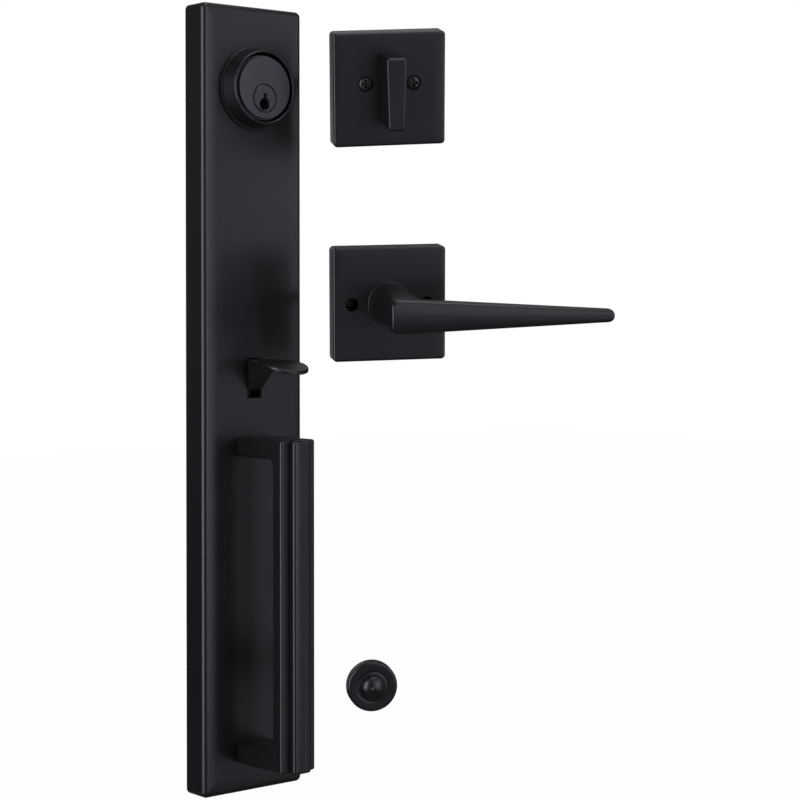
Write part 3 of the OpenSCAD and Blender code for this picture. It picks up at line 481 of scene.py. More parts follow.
    @staticmethod
    def cut_at(bm: Shape, point: Sequence[float], way: Sequence[float]) -> None:
        """Cuts new edges into a shape where a plane crosses it."""
        bmesh.ops.bisect_plane(bm, geom=bm.verts[:] + bm.edges[:] + bm.faces[:], dist=1e-5, plane_co=point,
                               plane_no=way)

    def roll_front(self, bm: Shape, half_x: float, half_z: float, depth: float, edge: float,
                   width: float = 5.0, drop: float = 0.16) -> None:
        """Lets a flat front fall away a little towards its edges, as a cast and coated cover does.

        Args:
            bm: Cover with its back at y = 0.
            half_x: Half its width.
            half_z: Half its height.
            depth: How far its front stands out.
            edge: Radius of its front edges.
            width: Width of the strip that falls away.
            drop: How far it falls at the edge.
        """
        for step in (0.0, 0.2, 0.45, 0.7, 1.0):
            inset = edge + width * step
            for side in (-1, 1):
                self.cut_at(bm, (side * (half_x - inset), 0, 0), (1, 0, 0))
                self.cut_at(bm, (0, 0, side * (half_z - inset)), (0, 0, 1))
        for vert in bm.verts:
            if vert.co.y < -depth + edge * 1.2:
                reach = min(half_x - abs(vert.co.x), half_z - abs(vert.co.z)) - edge
                share = 1 - min(max(reach / width, 0.0), 1.0)
                vert.co.y += drop * share * share

    def softened(self, bm: Shape, width: float, height: float, depth: float, edge: float,
                 corner: float) -> Shape:
        """Gives a cover the full roundings of its front rim and upright corners.

        Args:
            bm: Cover with its back at y = 0; it is freed.
            width: Its width.
            height: Its height.
            depth: How far its front stands out.
            edge: Radius of its front rim.
            corner: Radius of its corners seen from the front.

        Returns:
            The softened cover.
        """
        over = 0.002
        shell = self.block((-width / 2 - over, -depth - over, -height / 2 - over),
                           (width / 2 + over, 5, height / 2 + over))
        self.round_edges(shell, self.corners(shell), corner, 8)
        self.round_edges(shell, self.front_rim(shell, -depth), edge, 8)
        return self.cut_with(bm, "INTERSECT", shell)

    def carved(self, bm: Shape, *cutters: Shape) -> Shape:
        """Cuts shapes out of a shape; all of them are freed."""
        return self.cut_with(bm, "DIFFERENCE", *cutters)

    @staticmethod
    def cut_with(bm: Shape, way: str, *cutters: Shape) -> Shape:
        """Cuts a shape with others by the Boolean modifier.

        Args:
            bm: Shape to cut; it is freed.
            way: Operation of the modifier.
            *cutters: Shapes to cut it with; they are freed.

        Returns:
            The cut shape.
        """
        blank = bpy.data.objects.new("blank", bpy.data.meshes.new("blank"))
        bm.to_mesh(blank.data)
        bm.free()
        bpy.context.scene.collection.objects.link(blank)
        tools = []
        for number, cutter in enumerate(cutters):
            tool = bpy.data.objects.new(f"cutter_{number}", bpy.data.meshes.new(f"cutter_{number}"))
            cutter.to_mesh(tool.data)
            cutter.free()
            bpy.context.scene.collection.objects.link(tool)
            step = blank.modifiers.new(f"cut_{number}", "BOOLEAN")
            step.operation = way
            step.solver = "EXACT"
            step.object = tool
            tools.append(tool)
        ready = blank.evaluated_get(bpy.context.evaluated_depsgraph_get()).to_mesh()
        made = bmesh.new()
        made.from_mesh(ready)
        for leftover in (blank, *tools):
            mesh = leftover.data
            bpy.data.objects.remove(leftover)
            bpy.data.meshes.remove(mesh)
        bmesh.ops.remove_doubles(made, verts=made.verts, dist=1e-3)
        bmesh.ops.dissolve_limit(made, angle_limit=math.radians(0.6), verts=made.verts, edges=made.edges)
        return made

    @staticmethod
    def cross_tool(face: float, width: float, depth: float) -> tuple[Shape, Shape]:
        """Returns the two tapered wings of a cross recess, cut into a face at the given depth in front."""
        wings = []
        for turn in (0.0, math.pi / 2):
            wing = Workshop.block((-width / 2, -face - 1, -width / 7), (width / 2, -face + depth, width / 7))
            for vert in wing.verts:
                if vert.co.y > -face:
                    vert.co.x *= 0.62
                    vert.co.z *= 0.8
            bmesh.ops.rotate(wing, cent=(0, 0, 0), matrix=Matrix.Rotation(turn, 3, "Y"), verts=wing.verts)
            wings.append(wing)
        return wings[0], wings[1]

    # pieces

    def piece(self, name: str, bm: Shape, slot: Slot, body: Body, nodes: Sequence[str],
              place: Matrix | None = None) -> bpy.types.Object:
        """Turns a shape in millimetres into a dressed piece that rides on a body.

        Args:
            name: Name of the piece.
            bm: The shape; it is freed.
            slot: Material slot, which also gives the finish.
            body: Body that the piece rides on.
            nodes: Solids that the piece stands for.
            place: Where the shape's own frame stands, in millimetres.

        Returns:
            The new object.
        """
        if place is not None:
            bmesh.ops.transform(bm, matrix=place, verts=bm.verts)
        bmesh.ops.scale(bm, vec=(MM, MM, MM), verts=bm.verts)
        mesh = bpy.data.meshes.new(name)
        bm.to_mesh(mesh)
        bm.free()
        mesh.polygons.foreach_set("use_smooth", [True] * len(mesh.polygons))
        mesh.set_sharp_from_angle(angle=self.SMOOTH_ANGLE)
        mesh.materials.append(self.materials[FINISH_OF_SLOT[slot]])
        shown = bpy.data.objects.new(name, mesh)
        bpy.context.scene.collection.objects.link(shown)
        normals = shown.modifiers.new("even_normals", "WEIGHTED_NORMAL")
        normals.keep_sharp = True
        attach(shown, body.value)
        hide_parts(*nodes)
        LOG.info("%s: %d faces, rides on %s", name, len(mesh.polygons), body.value)
        return shown

    def dressed(self, node: str, slot: Slot, body: Body, edge: float = 0.2) -> bpy.types.Object:
        """Makes a piece from a solid's own shape with softened edges.

        Args:
            node: Name of the solid.
            slot: Material slot.
            body: Body that it rides on.
            edge: Radius that breaks its sharp edges.

        Returns:
            The new object.
        """
        bm = self.from_node(node)
        if edge > 0:
            self.round_where(bm, edge, 2)
        return self.piece(f"{node}_shown", bm, slot, body, [node])


@dataclass
class TrimPlace:
    """Place of an inside trim beside the tall plate."""

    at: Triple
    lean: float
    turn: float = 28.0
    lean_turn: float = 40.0

    def matrix(self) -> Matrix:
        """Returns the trim's own frame in the row frame, in millimetres."""
        return (Matrix.Translation(self.at) @ Matrix.Rotation(math.radians(-self.lean_turn), 4, "Z")
                @ Matrix.Rotation(math.radians(self.lean), 4, "X")
                @ Matrix.Rotation(math.radians(self.lean_turn - self.turn), 4, "Z"))


def arc(centre: tuple[float, float], radius: float, start: float, end: float, steps: int = 8
        ) -> list[tuple[float, float]]:
    """Returns points along a circular arc between two angles in degrees."""
    return [(centre[0] + radius * math.cos(math.radians(start + (end - start) * i / steps)),
             centre[1] + radius * math.sin(math.radians(start + (end - start) * i / steps)))
            for i in range(steps + 1)]


def threaded(crest: float, root: float, start: float, seat: float) -> list[tuple[float, float]]:
    """Returns a screw's profile from its point, along its thread and plain shank, to its head's seat."""
    pitch, rows, shank_r = 0.5, 42, 2.0
    end = start - pitch * (rows + 2)
    ridges = [(crest if row % 2 else root, start - pitch * row) for row in range(rows, 0, -1)]
    return [(0, end), (crest - 0.7, end), (crest - 0.2, end + pitch), *ridges, (root, start),
            (shank_r, start + pitch), (shank_r, seat)]


# ---- sub-assemblies ----


@dataclass
class TallPlate:
    """Tall outside plate."""

    width: float = 73.0
    height: float = 473.0
    depth: float = 19.0
    edge: float = 3.4
    corner: float = 3.5
    roll_w: float = 8.0
    roll_drop: float = 0.45

    def build(self, shop: Workshop) -> None:
        """Builds the plate with its rolled front."""
        bm = shop.softened(shop.from_node("escutcheon"), self.width, self.height, self.depth, self.edge,
                           self.corner)
        shop.roll_front(bm, self.width / 2, self.height / 2, self.depth, self.edge, self.roll_w,
                        self.roll_drop)
        shop.piece("escutcheon_shown", bm, Slot.BLACK, Body.SET, ["escutcheon"])


@dataclass
class KeyCylinder:
    """Collar, cylinder face and key plug."""

    centre_z: float = 187.0
    plug_z: float = 180.5
    plate: float = 19.0
    collar_r: float = 25.0
    collar_front_r: float = 22.25
    collar_reach: float = 12.0
    base_t: float = 2.0
    base_step: float = 1.0
    bore_r: float = 20.5
    inner_r: float = 19.0
    flange: float = 2.5
    plug_front: float = 30.8
    plug_face_r: float = 7.8
    face_r: float = 19.3
    plug_r: float = 6.5
    plug_face_t: float = 1.8
    mouth_r: float = 4.2
    mouth_drop: float = 3.6
    mouth_depth: float = 14.0
    slit_depth: float = 20.0
    slit_w: float = 2.2
    slit_top: float = 3.3

    def build(self, shop: Workshop) -> None:
        """Builds the collar and the key plug, and dresses the pieces round them."""
        self._collar(shop)
        self._body(shop)
        self._plug(shop)
        shop.dressed("plug_clip", Slot.SPRING, Body.PLUG, 0.1)
        shop.dressed("tailpiece", Slot.PLATED, Body.PLUG, 0.2)

    def _body(self, shop: Workshop) -> None:
        """Shapes the cylinder body, its face a little smaller than the collar's bore."""
        bm = shop.from_node("cylinder_body")
        shop.round_where(bm, 0.25, 2)
        kept_r, squeeze, kept_depth = self.face_r - 0.6, 0.4, 4.0
        for vert in bm.verts:
            reach = math.hypot(vert.co.x, vert.co.z - self.centre_z)
            if vert.co.y < -self.plate - kept_depth and reach > kept_r:
                share = (kept_r + (reach - kept_r) * squeeze) / reach
                vert.co.x *= share
                vert.co.z = self.centre_z + (vert.co.z - self.centre_z) * share
        shop.piece("cylinder_body_shown", bm, Slot.FACE, Body.SET, ["cylinder_body"])

    def _collar(self, shop: Workshop) -> None:
        """Turns the collar with its base ring, its step and its rounded rim."""
        front, base = self.plate + self.collar_reach, self.plate + self.base_t
        lip = (self.collar_front_r - self.bore_r) / 2
        rim = arc((self.collar_front_r - lip, front - lip), lip, 8, 90, 7)
        inner = arc((self.bore_r + lip, front - lip), lip, 97, 180, 7)
        bm = shop.lathe([
            (self.inner_r, self.plate), (self.collar_r - 0.3, self.plate), (self.collar_r, self.plate + 0.3),
            (self.collar_r, base - 0.2), (self.collar_r - 0.2, base), (self.collar_r - self.base_step, base),
            (self.collar_r - self.base_step, base + 0.6), *rim, *inner,
            (self.bore_r, self.plate + self.flange), (self.inner_r, self.plate + self.flange)], 160)
        shop.piece("cylinder_collar_shown", shop.moved(bm, (0, 0, self.centre_z)), Slot.BLACK, Body.SET,
                   ["cylinder_collar"])

    def _plug(self, shop: Workshop) -> None:
        """Turns the key plug and cuts its keyhole."""
        face_back = self.plug_front - self.plug_face_t
        bm = shop.lathe([
            (0, 0.4), (self.plug_r - 0.2, 0.4), (self.plug_r - 0.2, 0.8), (self.plug_r - 1, 0.8),
            (self.plug_r - 1, 1.8), (self.plug_r - 0.1, 1.8), (self.plug_r - 0.1, face_back),
            (self.plug_face_r, face_back), (self.plug_face_r, self.plug_front - 0.3),
            (self.plug_face_r - 0.3, self.plug_front), (0, self.plug_front)], 96)
        low, floor = -self.mouth_drop, self.plug_front - self.mouth_depth
        mouth = shop.lathe([(0, self.plug_front + 1), (self.mouth_r + 0.3, self.plug_front + 1),
                            (self.mouth_r, self.plug_front), (self.mouth_r - 0.4, self.plug_front - 0.5),
                            (self.mouth_r - 0.5, floor), (0, floor)], 64)
        shop.moved(mouth, (0, 0, low))
        slit = shop.block((-self.slit_w / 2, -self.plug_front - 1, low),
                          (self.slit_w / 2, -self.plug_front + self.slit_depth, self.slit_top))
        shop.round_edges(slit, [e for e in shop.corners(slit) if all(v.co.z > low + 1 for v in e.verts)], 0.6, 3)
        bm = shop.carved(bm, mouth, slit)
        shop.piece("key_plug_shown", shop.moved(bm, (0, 0, self.plug_z)), Slot.FACE, Body.PLUG, ["key_plug"])


@dataclass
class ThumbLatch:
    """Thumb piece and the drive behind it."""

    pivot: tuple[float, float] = (-12.0, 18.0)
    plate: float = 19.0
    web_w: float = 9.8
    tip: float = -64.0
    half_w: float = 14.0
    thick: float = 2.4
    root_top: float = 24.6
    flat: float = 12.0
    bend_r: float = 90.0
    dish: float = 0.7
    rim: float = 1.0
    web_reach: float = 15.5
    foot_half: float = 12.0
    foot_rise: float = 6.5
    foot_t: float = 2.5
    barrel_r: float = 3.6
    pin_r: float = 1.55

    def build(self, shop: Workshop) -> None:
        """Builds the thumb piece, its pin and spring, and the lift drive."""
        bm = shop.joined(self._paddle(shop), self._web(shop), self._foot(shop), self._barrel(shop))
        shop.piece("thumb_piece_shown", bm, Slot.BLACK, Body.THUMB, ["thumb_piece"])
        for node, slot, body, edge in (
                ("thumb_pin", Slot.PLATED, Body.SET, 0.15), ("thumb_spring", Slot.SPRING, Body.SET, 0),
                ("lift_hub", Slot.PLATED, Body.HUB, 0.2), ("hub_bracket", Slot.PLATED, Body.SET, 0.15),
                ("bracket_screws", Slot.PLATED, Body.SET, 0.08), ("latch_posts", Slot.PLATED, Body.SET, 0.2)):
            shop.dressed(node, slot, body, edge)

    def _outline(self) -> list[tuple[float, float]]:
        """Returns the paddle's outline from above, from its narrow root round its broad tip."""
        root = self.web_w / 2
        reach = -self.plate - self.tip
        flare = ((0.11, 0.22), (0.22, 0.45), (0.33, 0.68), (0.44, 0.86), (0.56, 0.965))
        right = [(root, -self.plate + 2), (root, -self.plate - 1.5),
                 *((root + (self.half_w - root) * out, -self.plate - along * reach) for along, out in flare)]
        tip = arc((0.0, self.tip + self.half_w), self.half_w, 0, -180, 28)
        return right + tip + [(-x, y) for x, y in reversed(right)]

    def _paddle(self, shop: Workshop) -> Shape:
        """Builds the paddle: a plate with a rolled rim, dished and bent down towards its tip."""
        bm = shop.prism([(x, y, 0.0) for x, y in self._outline()], (0, 0, -self.thick))
        shop.round_where(bm, self.rim, 4, 60)
        for step in range(-6, 7):
            shop.cut_at(bm, (step * 2.0, 0, 0), (1, 0, 0))
        for step in range(17):
            shop.cut_at(bm, (0, self.tip + 2 + 2.5 * step, 0), (0, 1, 0))
        bend_y = -self.plate - self.flat
        for vert in bm.verts:
            x, y, z = vert.co
            along = min(max((-self.plate - 4 - y) / 14, 0.0), 1.0) * min(max((y - self.tip) / 7, 0.0), 1.0)
            across = max(1 - (x / (self.half_w - 1.5)) ** 2, 0.0)
            run = max(bend_y - y, 0.0)
            fall = self.bend_r - math.sqrt(self.bend_r ** 2 - run ** 2)
            vert.co.z = z - fall - self.dish * along * across + self.root_top
        bmesh.ops.recalc_face_normals(bm, faces=bm.faces)
        return bm

    def _web(self, shop: Workshop) -> Shape:
        """Builds the web that passes the slot under the paddle."""
        y, z = self.pivot
        front = -self.plate
        under, nose = self.root_top - self.thick, front - self.web_reach
        side = [(y + 1, z - 3.2), (y - 3, z - 10), (front - 0.5, z - 12.5), (nose, under - 2.2),
                (nose, under + 0.5), (front, self.root_top - 1), (front + 3, self.root_top - 0.6),
                (y + 1, z + 3.2)]
        bm = shop.prism([(-self.web_w / 2, a, b) for a, b in side], (self.web_w, 0, 0))
        shop.round_where(bm, 0.45, 3, 30)
        return bm

    def _foot(self, shop: Workshop) -> Shape:
        """Builds the tail with its cross foot behind the pivot."""
        y, z = self.pivot
        low = z + self.foot_rise
        high = low + self.foot_t
        tail = shop.prism([(-self.web_w / 2 + 0.2, a, b) for a, b in
                           ((y - 2, z + 3), (y + 3, z - 1.5), (-1, low), (-4, high))],
                          (self.web_w - 0.4, 0, 0))
        foot = shop.block((-self.foot_half, -4, low), (self.foot_half, -1, high))
        shop.round_where(tail, 0.4, 2, 30)
        shop.round_where(foot, 0.5, 3, 30)
        return shop.joined(tail, foot)

    def _barrel(self, shop: Workshop) -> Shape:
        """Turns the pivot barrel and lays it along X."""
        half, bevel = self.web_w / 2 - 0.2, 0.2
        bm = shop.lathe([(self.pin_r, -half), (self.barrel_r - bevel, -half), (self.barrel_r, -half + bevel),
                         (self.barrel_r, half - bevel), (self.barrel_r - bevel, half), (self.pin_r, half)], 64)
        bmesh.ops.rotate(bm, cent=(0, 0, 0), matrix=Matrix.Rotation(math.pi / 2, 3, "Z"), verts=bm.verts)
        return shop.moved(bm, (0, *self.pivot))


@dataclass
class PullGrip:
    """Pull grip with its fixings."""

    top: float = -22.0
    bottom: float = -218.0
    plate: float = 19.0
    half_w: float = 12.5
    back: float = -54.0
    front: float = -63.0
    arm: float = 11.5
    fillet: float = 5.0
    edge: float = 1.6
    strip_half: float = 6.4
    strip_rise: float = 5.0
    crown: float = 0.6

    def build(self, shop: Workshop) -> None:
        """Builds the grip, its screw and its post."""
        shop.piece("grip_shown", self._casting(shop), Slot.BLACK, Body.SET, ["grip"])
        shop.dressed("grip_screw", Slot.PLATED, Body.SET, 0.2)
        shop.dressed("grip_post", Slot.PLATED, Body.SET, 0.2)

    def _casting(self, shop: Workshop) -> Shape:
        """Builds the bar, the arms and the crowned strip as one casting."""
        r = self.fillet
        low, high = self.bottom + self.arm, self.top - self.arm
        side = [(-self.plate, self.top), (self.front, self.top), (self.front, self.bottom),
                (-self.plate, self.bottom), (-self.plate, low),
                *arc((self.back + r, low + r), r, 270, 180, 8), *arc((self.back + r, high - r), r, 180, 90, 8),
                (-self.plate, high)]
        bm = shop.prism([(-self.half_w, y, z) for y, z in side], (2 * self.half_w, 0, 0))
        for edge_x in (-self.strip_half, self.strip_half):
            shop.cut_at(bm, (edge_x, 0, 0), (1, 0, 0))
        strip = [face for face in bm.faces
                 if all(v.co.y < self.front + 0.01 and abs(v.co.x) < self.strip_half + 0.01 for v in face.verts)]
        grown = bmesh.ops.extrude_face_region(bm, geom=strip)
        bmesh.ops.translate(bm, vec=(0, -self.strip_rise, 0),
                            verts=[v for v in grown["geom"] if isinstance(v, bmesh.types.BMVert)])
        bmesh.ops.delete(bm, geom=strip, context="FACES_ONLY")
        on_plate = -self.plate - 0.01
        shop.round_where(bm, self.edge, 6, 50,
                         keep=lambda e: e.is_convex and any(v.co.y < on_plate for v in e.verts))
        for step in (-4.5, -3.4, -2.3, -1.15, 0, 1.15, 2.3, 3.4, 4.5):
            shop.cut_at(bm, (step, 0, 0), (1, 0, 0))
        for vert in bm.verts:
            if vert.co.y < self.front - 0.6:
                vert.co.y += self.crown * (vert.co.x / self.strip_half) ** 2
        bmesh.ops.recalc_face_normals(bm, faces=bm.faces)
        return bm


@dataclass
class DeadboltTrim:
    """Inside trim of the deadbolt."""

    place: TrimPlace = field(default_factory=lambda: TrimPlace((60.5, -70.0, 188.7), 15.0))
    side: float = 68.0
    depth: float = 13.0
    top_half: float = 6.3
    bottom_half: float = 5.0
    half_len: float = 21.5
    reach: float = 22.0
    corner: float = 1.9
    rim: float = 1.4
    shank_r: float = 6.0
    screw_x: float = 14.5
    screw_z: float = 3.6
    head_r: float = 4.4

    def build(self, shop: Workshop) -> None:
        """Builds the rosette, the turn and its screws."""
        build_rosette(shop, "deadbolt_rosette", self.place, self.side, self.depth)
        self._turn(shop)
        shop.dressed("turn_spindle", Slot.PLATED, Body.TURN, 0.2)
        shop.dressed("turn_clip", Slot.SPRING, Body.TURN, 0.1)
        build_screws(shop, "deadbolt_screws", self.place, self.screw_x, self.screw_z, self.head_r,
                     self.depth - 2.5)

    def _turn(self, shop: Workshop) -> None:
        """Builds the tapered bar and its shank."""
        back, front = -self.depth - 0.4, -self.depth - self.reach
        bm = shop.block((-1, front, -self.half_len), (1, back, self.half_len))
        for vert in bm.verts:
            vert.co.x *= self.top_half if vert.co.z > 0 else self.bottom_half
        shop.round_edges(bm, shop.corners(bm), self.corner, 5, False)
        shop.round_edges(bm, shop.front_rim(bm, front), self.rim, 5, False)
        shank = shop.lathe([(0, -back + 0.5), (self.shank_r, -back + 0.5), (self.shank_r, 5.8),
                            (self.shank_r - 0.8, 5.8), (self.shank_r - 0.8, 4.8), (self.shank_r, 4.8),
                            (self.shank_r, 2.7), (self.shank_r - 0.3, 2.5), (4.6, 2.5), (4.6, 6), (0, 6)], 64)
        shop.piece("thumbturn_shown", shop.joined(bm, shank), Slot.BLACK, Body.TURN, ["thumbturn"],
                   self.place.matrix())


def build_rosette(shop: Workshop, node: str, place: TrimPlace, side: float, depth: float) -> None:
    """Builds a square rosette with its rolled front.

    Args:
        shop: The workshop.
        node: Solid that it stands for.
        place: Its place.
        side: Side of the square.
        depth: Depth from the door to its front.
    """
    bm = shop.from_node(node)
    bmesh.ops.transform(bm, matrix=place.matrix().inverted(), verts=bm.verts)
    edge, corner, roll_w, roll_drop = 1.5, 2.2, 5.0, 0.14
    bm = shop.softened(bm, side, side, depth, edge, corner)
    shop.roll_front(bm, side / 2, side / 2, depth, edge, roll_w, roll_drop)
    shop.piece(f"{node}_shown", bm, Slot.BLACK, Body.SET, [node], place.matrix())


def build_screws(shop: Workshop, node: str, place: TrimPlace, across: float, up: float, head_r: float,
                 seat: float) -> None:
    """Builds a pair of long cross-recessed fixing screws.

    Args:
        shop: The workshop.
        node: Solid that they stand for.
        place: Place of the trim.
        across: Distance of each screw from the middle.
        up: Height of both above the middle.
        head_r: Radius of the head.
        seat: Depth in front of the door of the head's underside.
    """
    top, recess, depth = seat + 2.7, head_r * 1.36, 2.6
    pair = []
    for way in (-1, 1):
        bm = shop.lathe([*threaded(2.4, 2.15, -14.0, seat), (head_r - 0.15, seat), (head_r, seat + 0.15),
                         (head_r, top - 1.5), (head_r - 0.35, top - 1.0), (head_r - 1.1, top - 0.45),
                         (head_r * 0.55, top - 0.12), (head_r * 0.3, top), (0, top)], 48)
        bm = shop.carved(bm, *shop.cross_tool(top, recess, depth))
        pair.append(shop.moved(bm, (way * across, 0, up)))
    shop.piece(f"{node}_shown", shop.joined(*pair), Slot.SCREWS, Body.SET, [node], place.matrix())


@dataclass
class LeverTrim:
    """Inside trim of the latch with its lever."""

    place: TrimPlace = field(default_factory=lambda: TrimPlace((55.5, -76.0, 59.4), 7.5))
    side: float = 68.0
    depth: float = 13.0
    ring_r: float = 13.3
    ring_t: float = 1.0
    neck_r: float = 12.3
    face: float = -73.0
    heel: float = -11.0
    tip: float = 120.5
    root_half: float = 10.0
    tip_half: float = 3.875
    root_t: float = 13.0
    tip_t: float = 7.0
    root_drop: float = 0.0
    tip_drop: float = 2.5
    heel_r: float = 4.6
    tip_r: float = 3.5
    rim: float = 1.7
    crown: float = 2.2
    screw_x: float = 22.5
    head_r: float = 3.65

    def build(self, shop: Workshop) -> None:
        """Builds the rosette, the lever and the spring cage."""
        build_rosette(shop, "lever_rosette", self.place, self.side, self.depth)
        ring = shop.lathe([(10.3, self.depth), (self.ring_r, self.depth),
                           *arc((self.ring_r - 0.5, self.depth + self.ring_t - 0.5), 0.5, 0, 90, 5),
                           (10.3, self.depth + self.ring_t)], 128)
        shop.piece("neck_ring_shown", ring, Slot.BLACK, Body.SET, ["neck_ring"], self.place.matrix())
        shop.piece("lever_shown", shop.joined(self._blade(shop), self._neck(shop)), Slot.BLACK, Body.LEVER,
                   ["lever"], self.place.matrix())
        for node, slot, body, edge in (
                ("grub_screw", Slot.PLATED, Body.LEVER, 0.1), ("lever_spindle", Slot.PLATED, Body.LEVER, 0.3),
                ("lever_hub", Slot.PLATED, Body.LEVER, 0.2), ("lever_clip", Slot.SPRING, Body.LEVER, 0.1),
                ("lever_spring", Slot.SPRING, Body.SET, 0), ("spring_cage", Slot.PLATED, Body.SET, 0.2)):
            shop.dressed(node, slot, body, edge)
        build_screws(shop, "lever_screws", self.place, self.screw_x, 0.0, self.head_r, 4.0)

    def _blade(self, shop: Workshop) -> Shape:
        """Builds the tapered blade with its crowned face."""
        root, end = self.heel_r, self.tip_r
        low, high = -self.tip_drop - self.tip_half, -self.tip_drop + self.tip_half
        outline = [*arc((self.heel + root, self.root_half - root - self.root_drop), root, 180, 90, 8),
                   *arc((self.tip - end, high - end), end, 90, 0, 8),
                   *arc((self.tip - end, low + end), end, 0, -90, 8),
                   *arc((self.heel + root, root - self.root_half - self.root_drop), root, -90, -180, 8)]
        bm = shop.prism([(x, self.face, z) for x, z in outline], (0, 1, 0))
        for vert in bm.verts:
            if vert.co.y > self.face + 0.5:
                along = (vert.co.x - self.heel) / (self.tip - self.heel)
                vert.co.y = self.face + self.root_t + (self.tip_t - self.root_t) * along
        rim = [e for e in bm.edges if e.calc_face_angle(0.0) > 1.0]
        shop.round_edges(bm, rim, self.rim, 6, False)
        span = self.tip - self.heel
        slope = ((self.tip_half - self.root_half) / span, (self.root_drop - self.tip_drop) / span)
        for share in (-0.85, -0.6, -0.3, 0.0, 0.3, 0.6, 0.85):
            rise = share * slope[0] + slope[1]
            shop.cut_at(bm, (self.heel, 0, -self.root_drop + share * self.root_half), (-rise, 0, 1))
        for vert in bm.verts:
            run = vert.co.x - self.heel
            middle = -self.root_drop + slope[1] * run
            half = self.root_half + slope[0] * run
            share = (vert.co.z - middle) / half
            if vert.co.y < self.face + 2 * self.rim:
                vert.co.y += self.crown * share * share * half / self.root_half
        bmesh.ops.recalc_face_normals(bm, faces=bm.faces)
        return bm

    def _neck(self, shop: Workshop) -> Shape:
        """Builds the neck from its round foot to the blade's square root, with its shank."""
        foot = -self.depth - self.ring_t - 0.4
        bm = bmesh.new()
        bmesh.ops.create_circle(bm, cap_ends=True, segments=64, radius=self.neck_r)
        bmesh.ops.rotate(bm, cent=(0, 0, 0), matrix=Matrix.Rotation(math.pi / 2, 3, "X"), verts=bm.verts)
        bmesh.ops.translate(bm, vec=(0, foot, 0), verts=bm.verts)
        cap = next(iter(bm.faces))
        for share in (0.12, 0.4, 0.7, 1.0):
            cap = bmesh.ops.extrude_discrete_faces(bm, faces=[cap])["faces"][0]
            for vert in cap.verts:
                angle = math.atan2(vert.co.z, vert.co.x)
                square = self._square_point(angle)
                vert.co.x = self.neck_r * math.cos(angle) * (1 - share) + square[0] * share
                vert.co.z = self.neck_r * math.sin(angle) * (1 - share) + square[1] * share
                vert.co.y = foot + (self.face + 7 - foot) * share
        shank = shop.lathe([(4.1, -foot - 0.2), (10, -foot - 0.2), (10, 9.6), (9.7, 9.4), (4.1, 9.4)], 64)
        bmesh.ops.recalc_face_normals(bm, faces=bm.faces)
        return shop.joined(bm, shank)

    def _square_point(self, angle: float) -> tuple[float, float]:
        """Returns the point of the blade's square root, with round corners, that lies at an angle."""
        half_x, half_z, power = -self.heel - 0.3, self.root_half - 0.4, 3.6
        c, s = math.cos(angle), math.sin(angle)
        reach = (abs(c / half_x) ** power + abs(s / half_z) ** power) ** (-1 / power)
        return reach * c, reach * s - self.root_drop


@dataclass
class Finial:
    """Cap and through bolt of the grip's lower end."""

    place: TrimPlace = field(default_factory=lambda: TrimPlace((42.0, -78.5, -168.5), 4.0))
    cap_r: float = 15.0
    cap_t: float = 7.0
    head_r: float = 7.0

    def build(self, shop: Workshop) -> None:
        """Builds the cap and the bolt."""
        ring = self.head_r + 2.0
        cap = shop.lathe([(2.8, 0), (self.cap_r - 0.3, 0), (self.cap_r, 0.3),
                          *arc((self.cap_r - 1.5, self.cap_t - 1.5), 1.5, 0, 90, 8),
                          (ring + 0.9, self.cap_t), (ring + 0.45, self.cap_t - 0.35), (ring, self.cap_t - 0.5),
                          (ring - 0.45, self.cap_t - 0.35), (ring - 0.9, self.cap_t), (2.8, self.cap_t)], 128)
        shop.piece("finial_cap_shown", cap, Slot.BLACK, Body.SET, ["finial_cap"], self.place.matrix())
        dome = [(self.head_r * math.cos(math.radians(a)), self.cap_t + 1 + 4.3 * math.sin(math.radians(a)))
                for a in range(0, 80, 8)]
        bolt = shop.lathe([*threaded(2.5, 2.2, -12.0, self.cap_t), (self.head_r - 0.3, self.cap_t),
                           (self.head_r, self.cap_t + 0.3), *dome,
                           (1.3, self.cap_t + 5.4), (0.9, self.cap_t + 5.85), (0, self.cap_t + 6)], 96)
        shop.piece("finial_bolt_shown", bolt, Slot.BLACK, Body.SET, ["finial_bolt"], self.place.matrix())


# ---- studio ----


@dataclass(frozen=True)
class Softbox:
    """Soft rectangular lamp aimed at a point, in metres."""

    name: str
    at: Triple
    size: tuple[float, float]
    glow: float
    aim: Triple = (0.05, -0.04, 0.0)

    def build(self) -> None:
        """Adds the lamp; its power follows from its glow and its area."""
        lamp = bpy.data.lights.new(self.name, "AREA")
        lamp.shape = "RECTANGLE"
        lamp.size, lamp.size_y = self.size
        lamp.energy = self.glow * math.pi * self.size[0] * self.size[1]
        shown = bpy.data.objects.new(self.name, lamp)
        shown.location = self.at
        way = Vector(self.aim) - Vector(self.at)
        shown.rotation_euler = way.to_track_quat("-Z", "Y").to_euler()
        shown.visible_camera = False
        bpy.context.scene.collection.objects.link(shown)


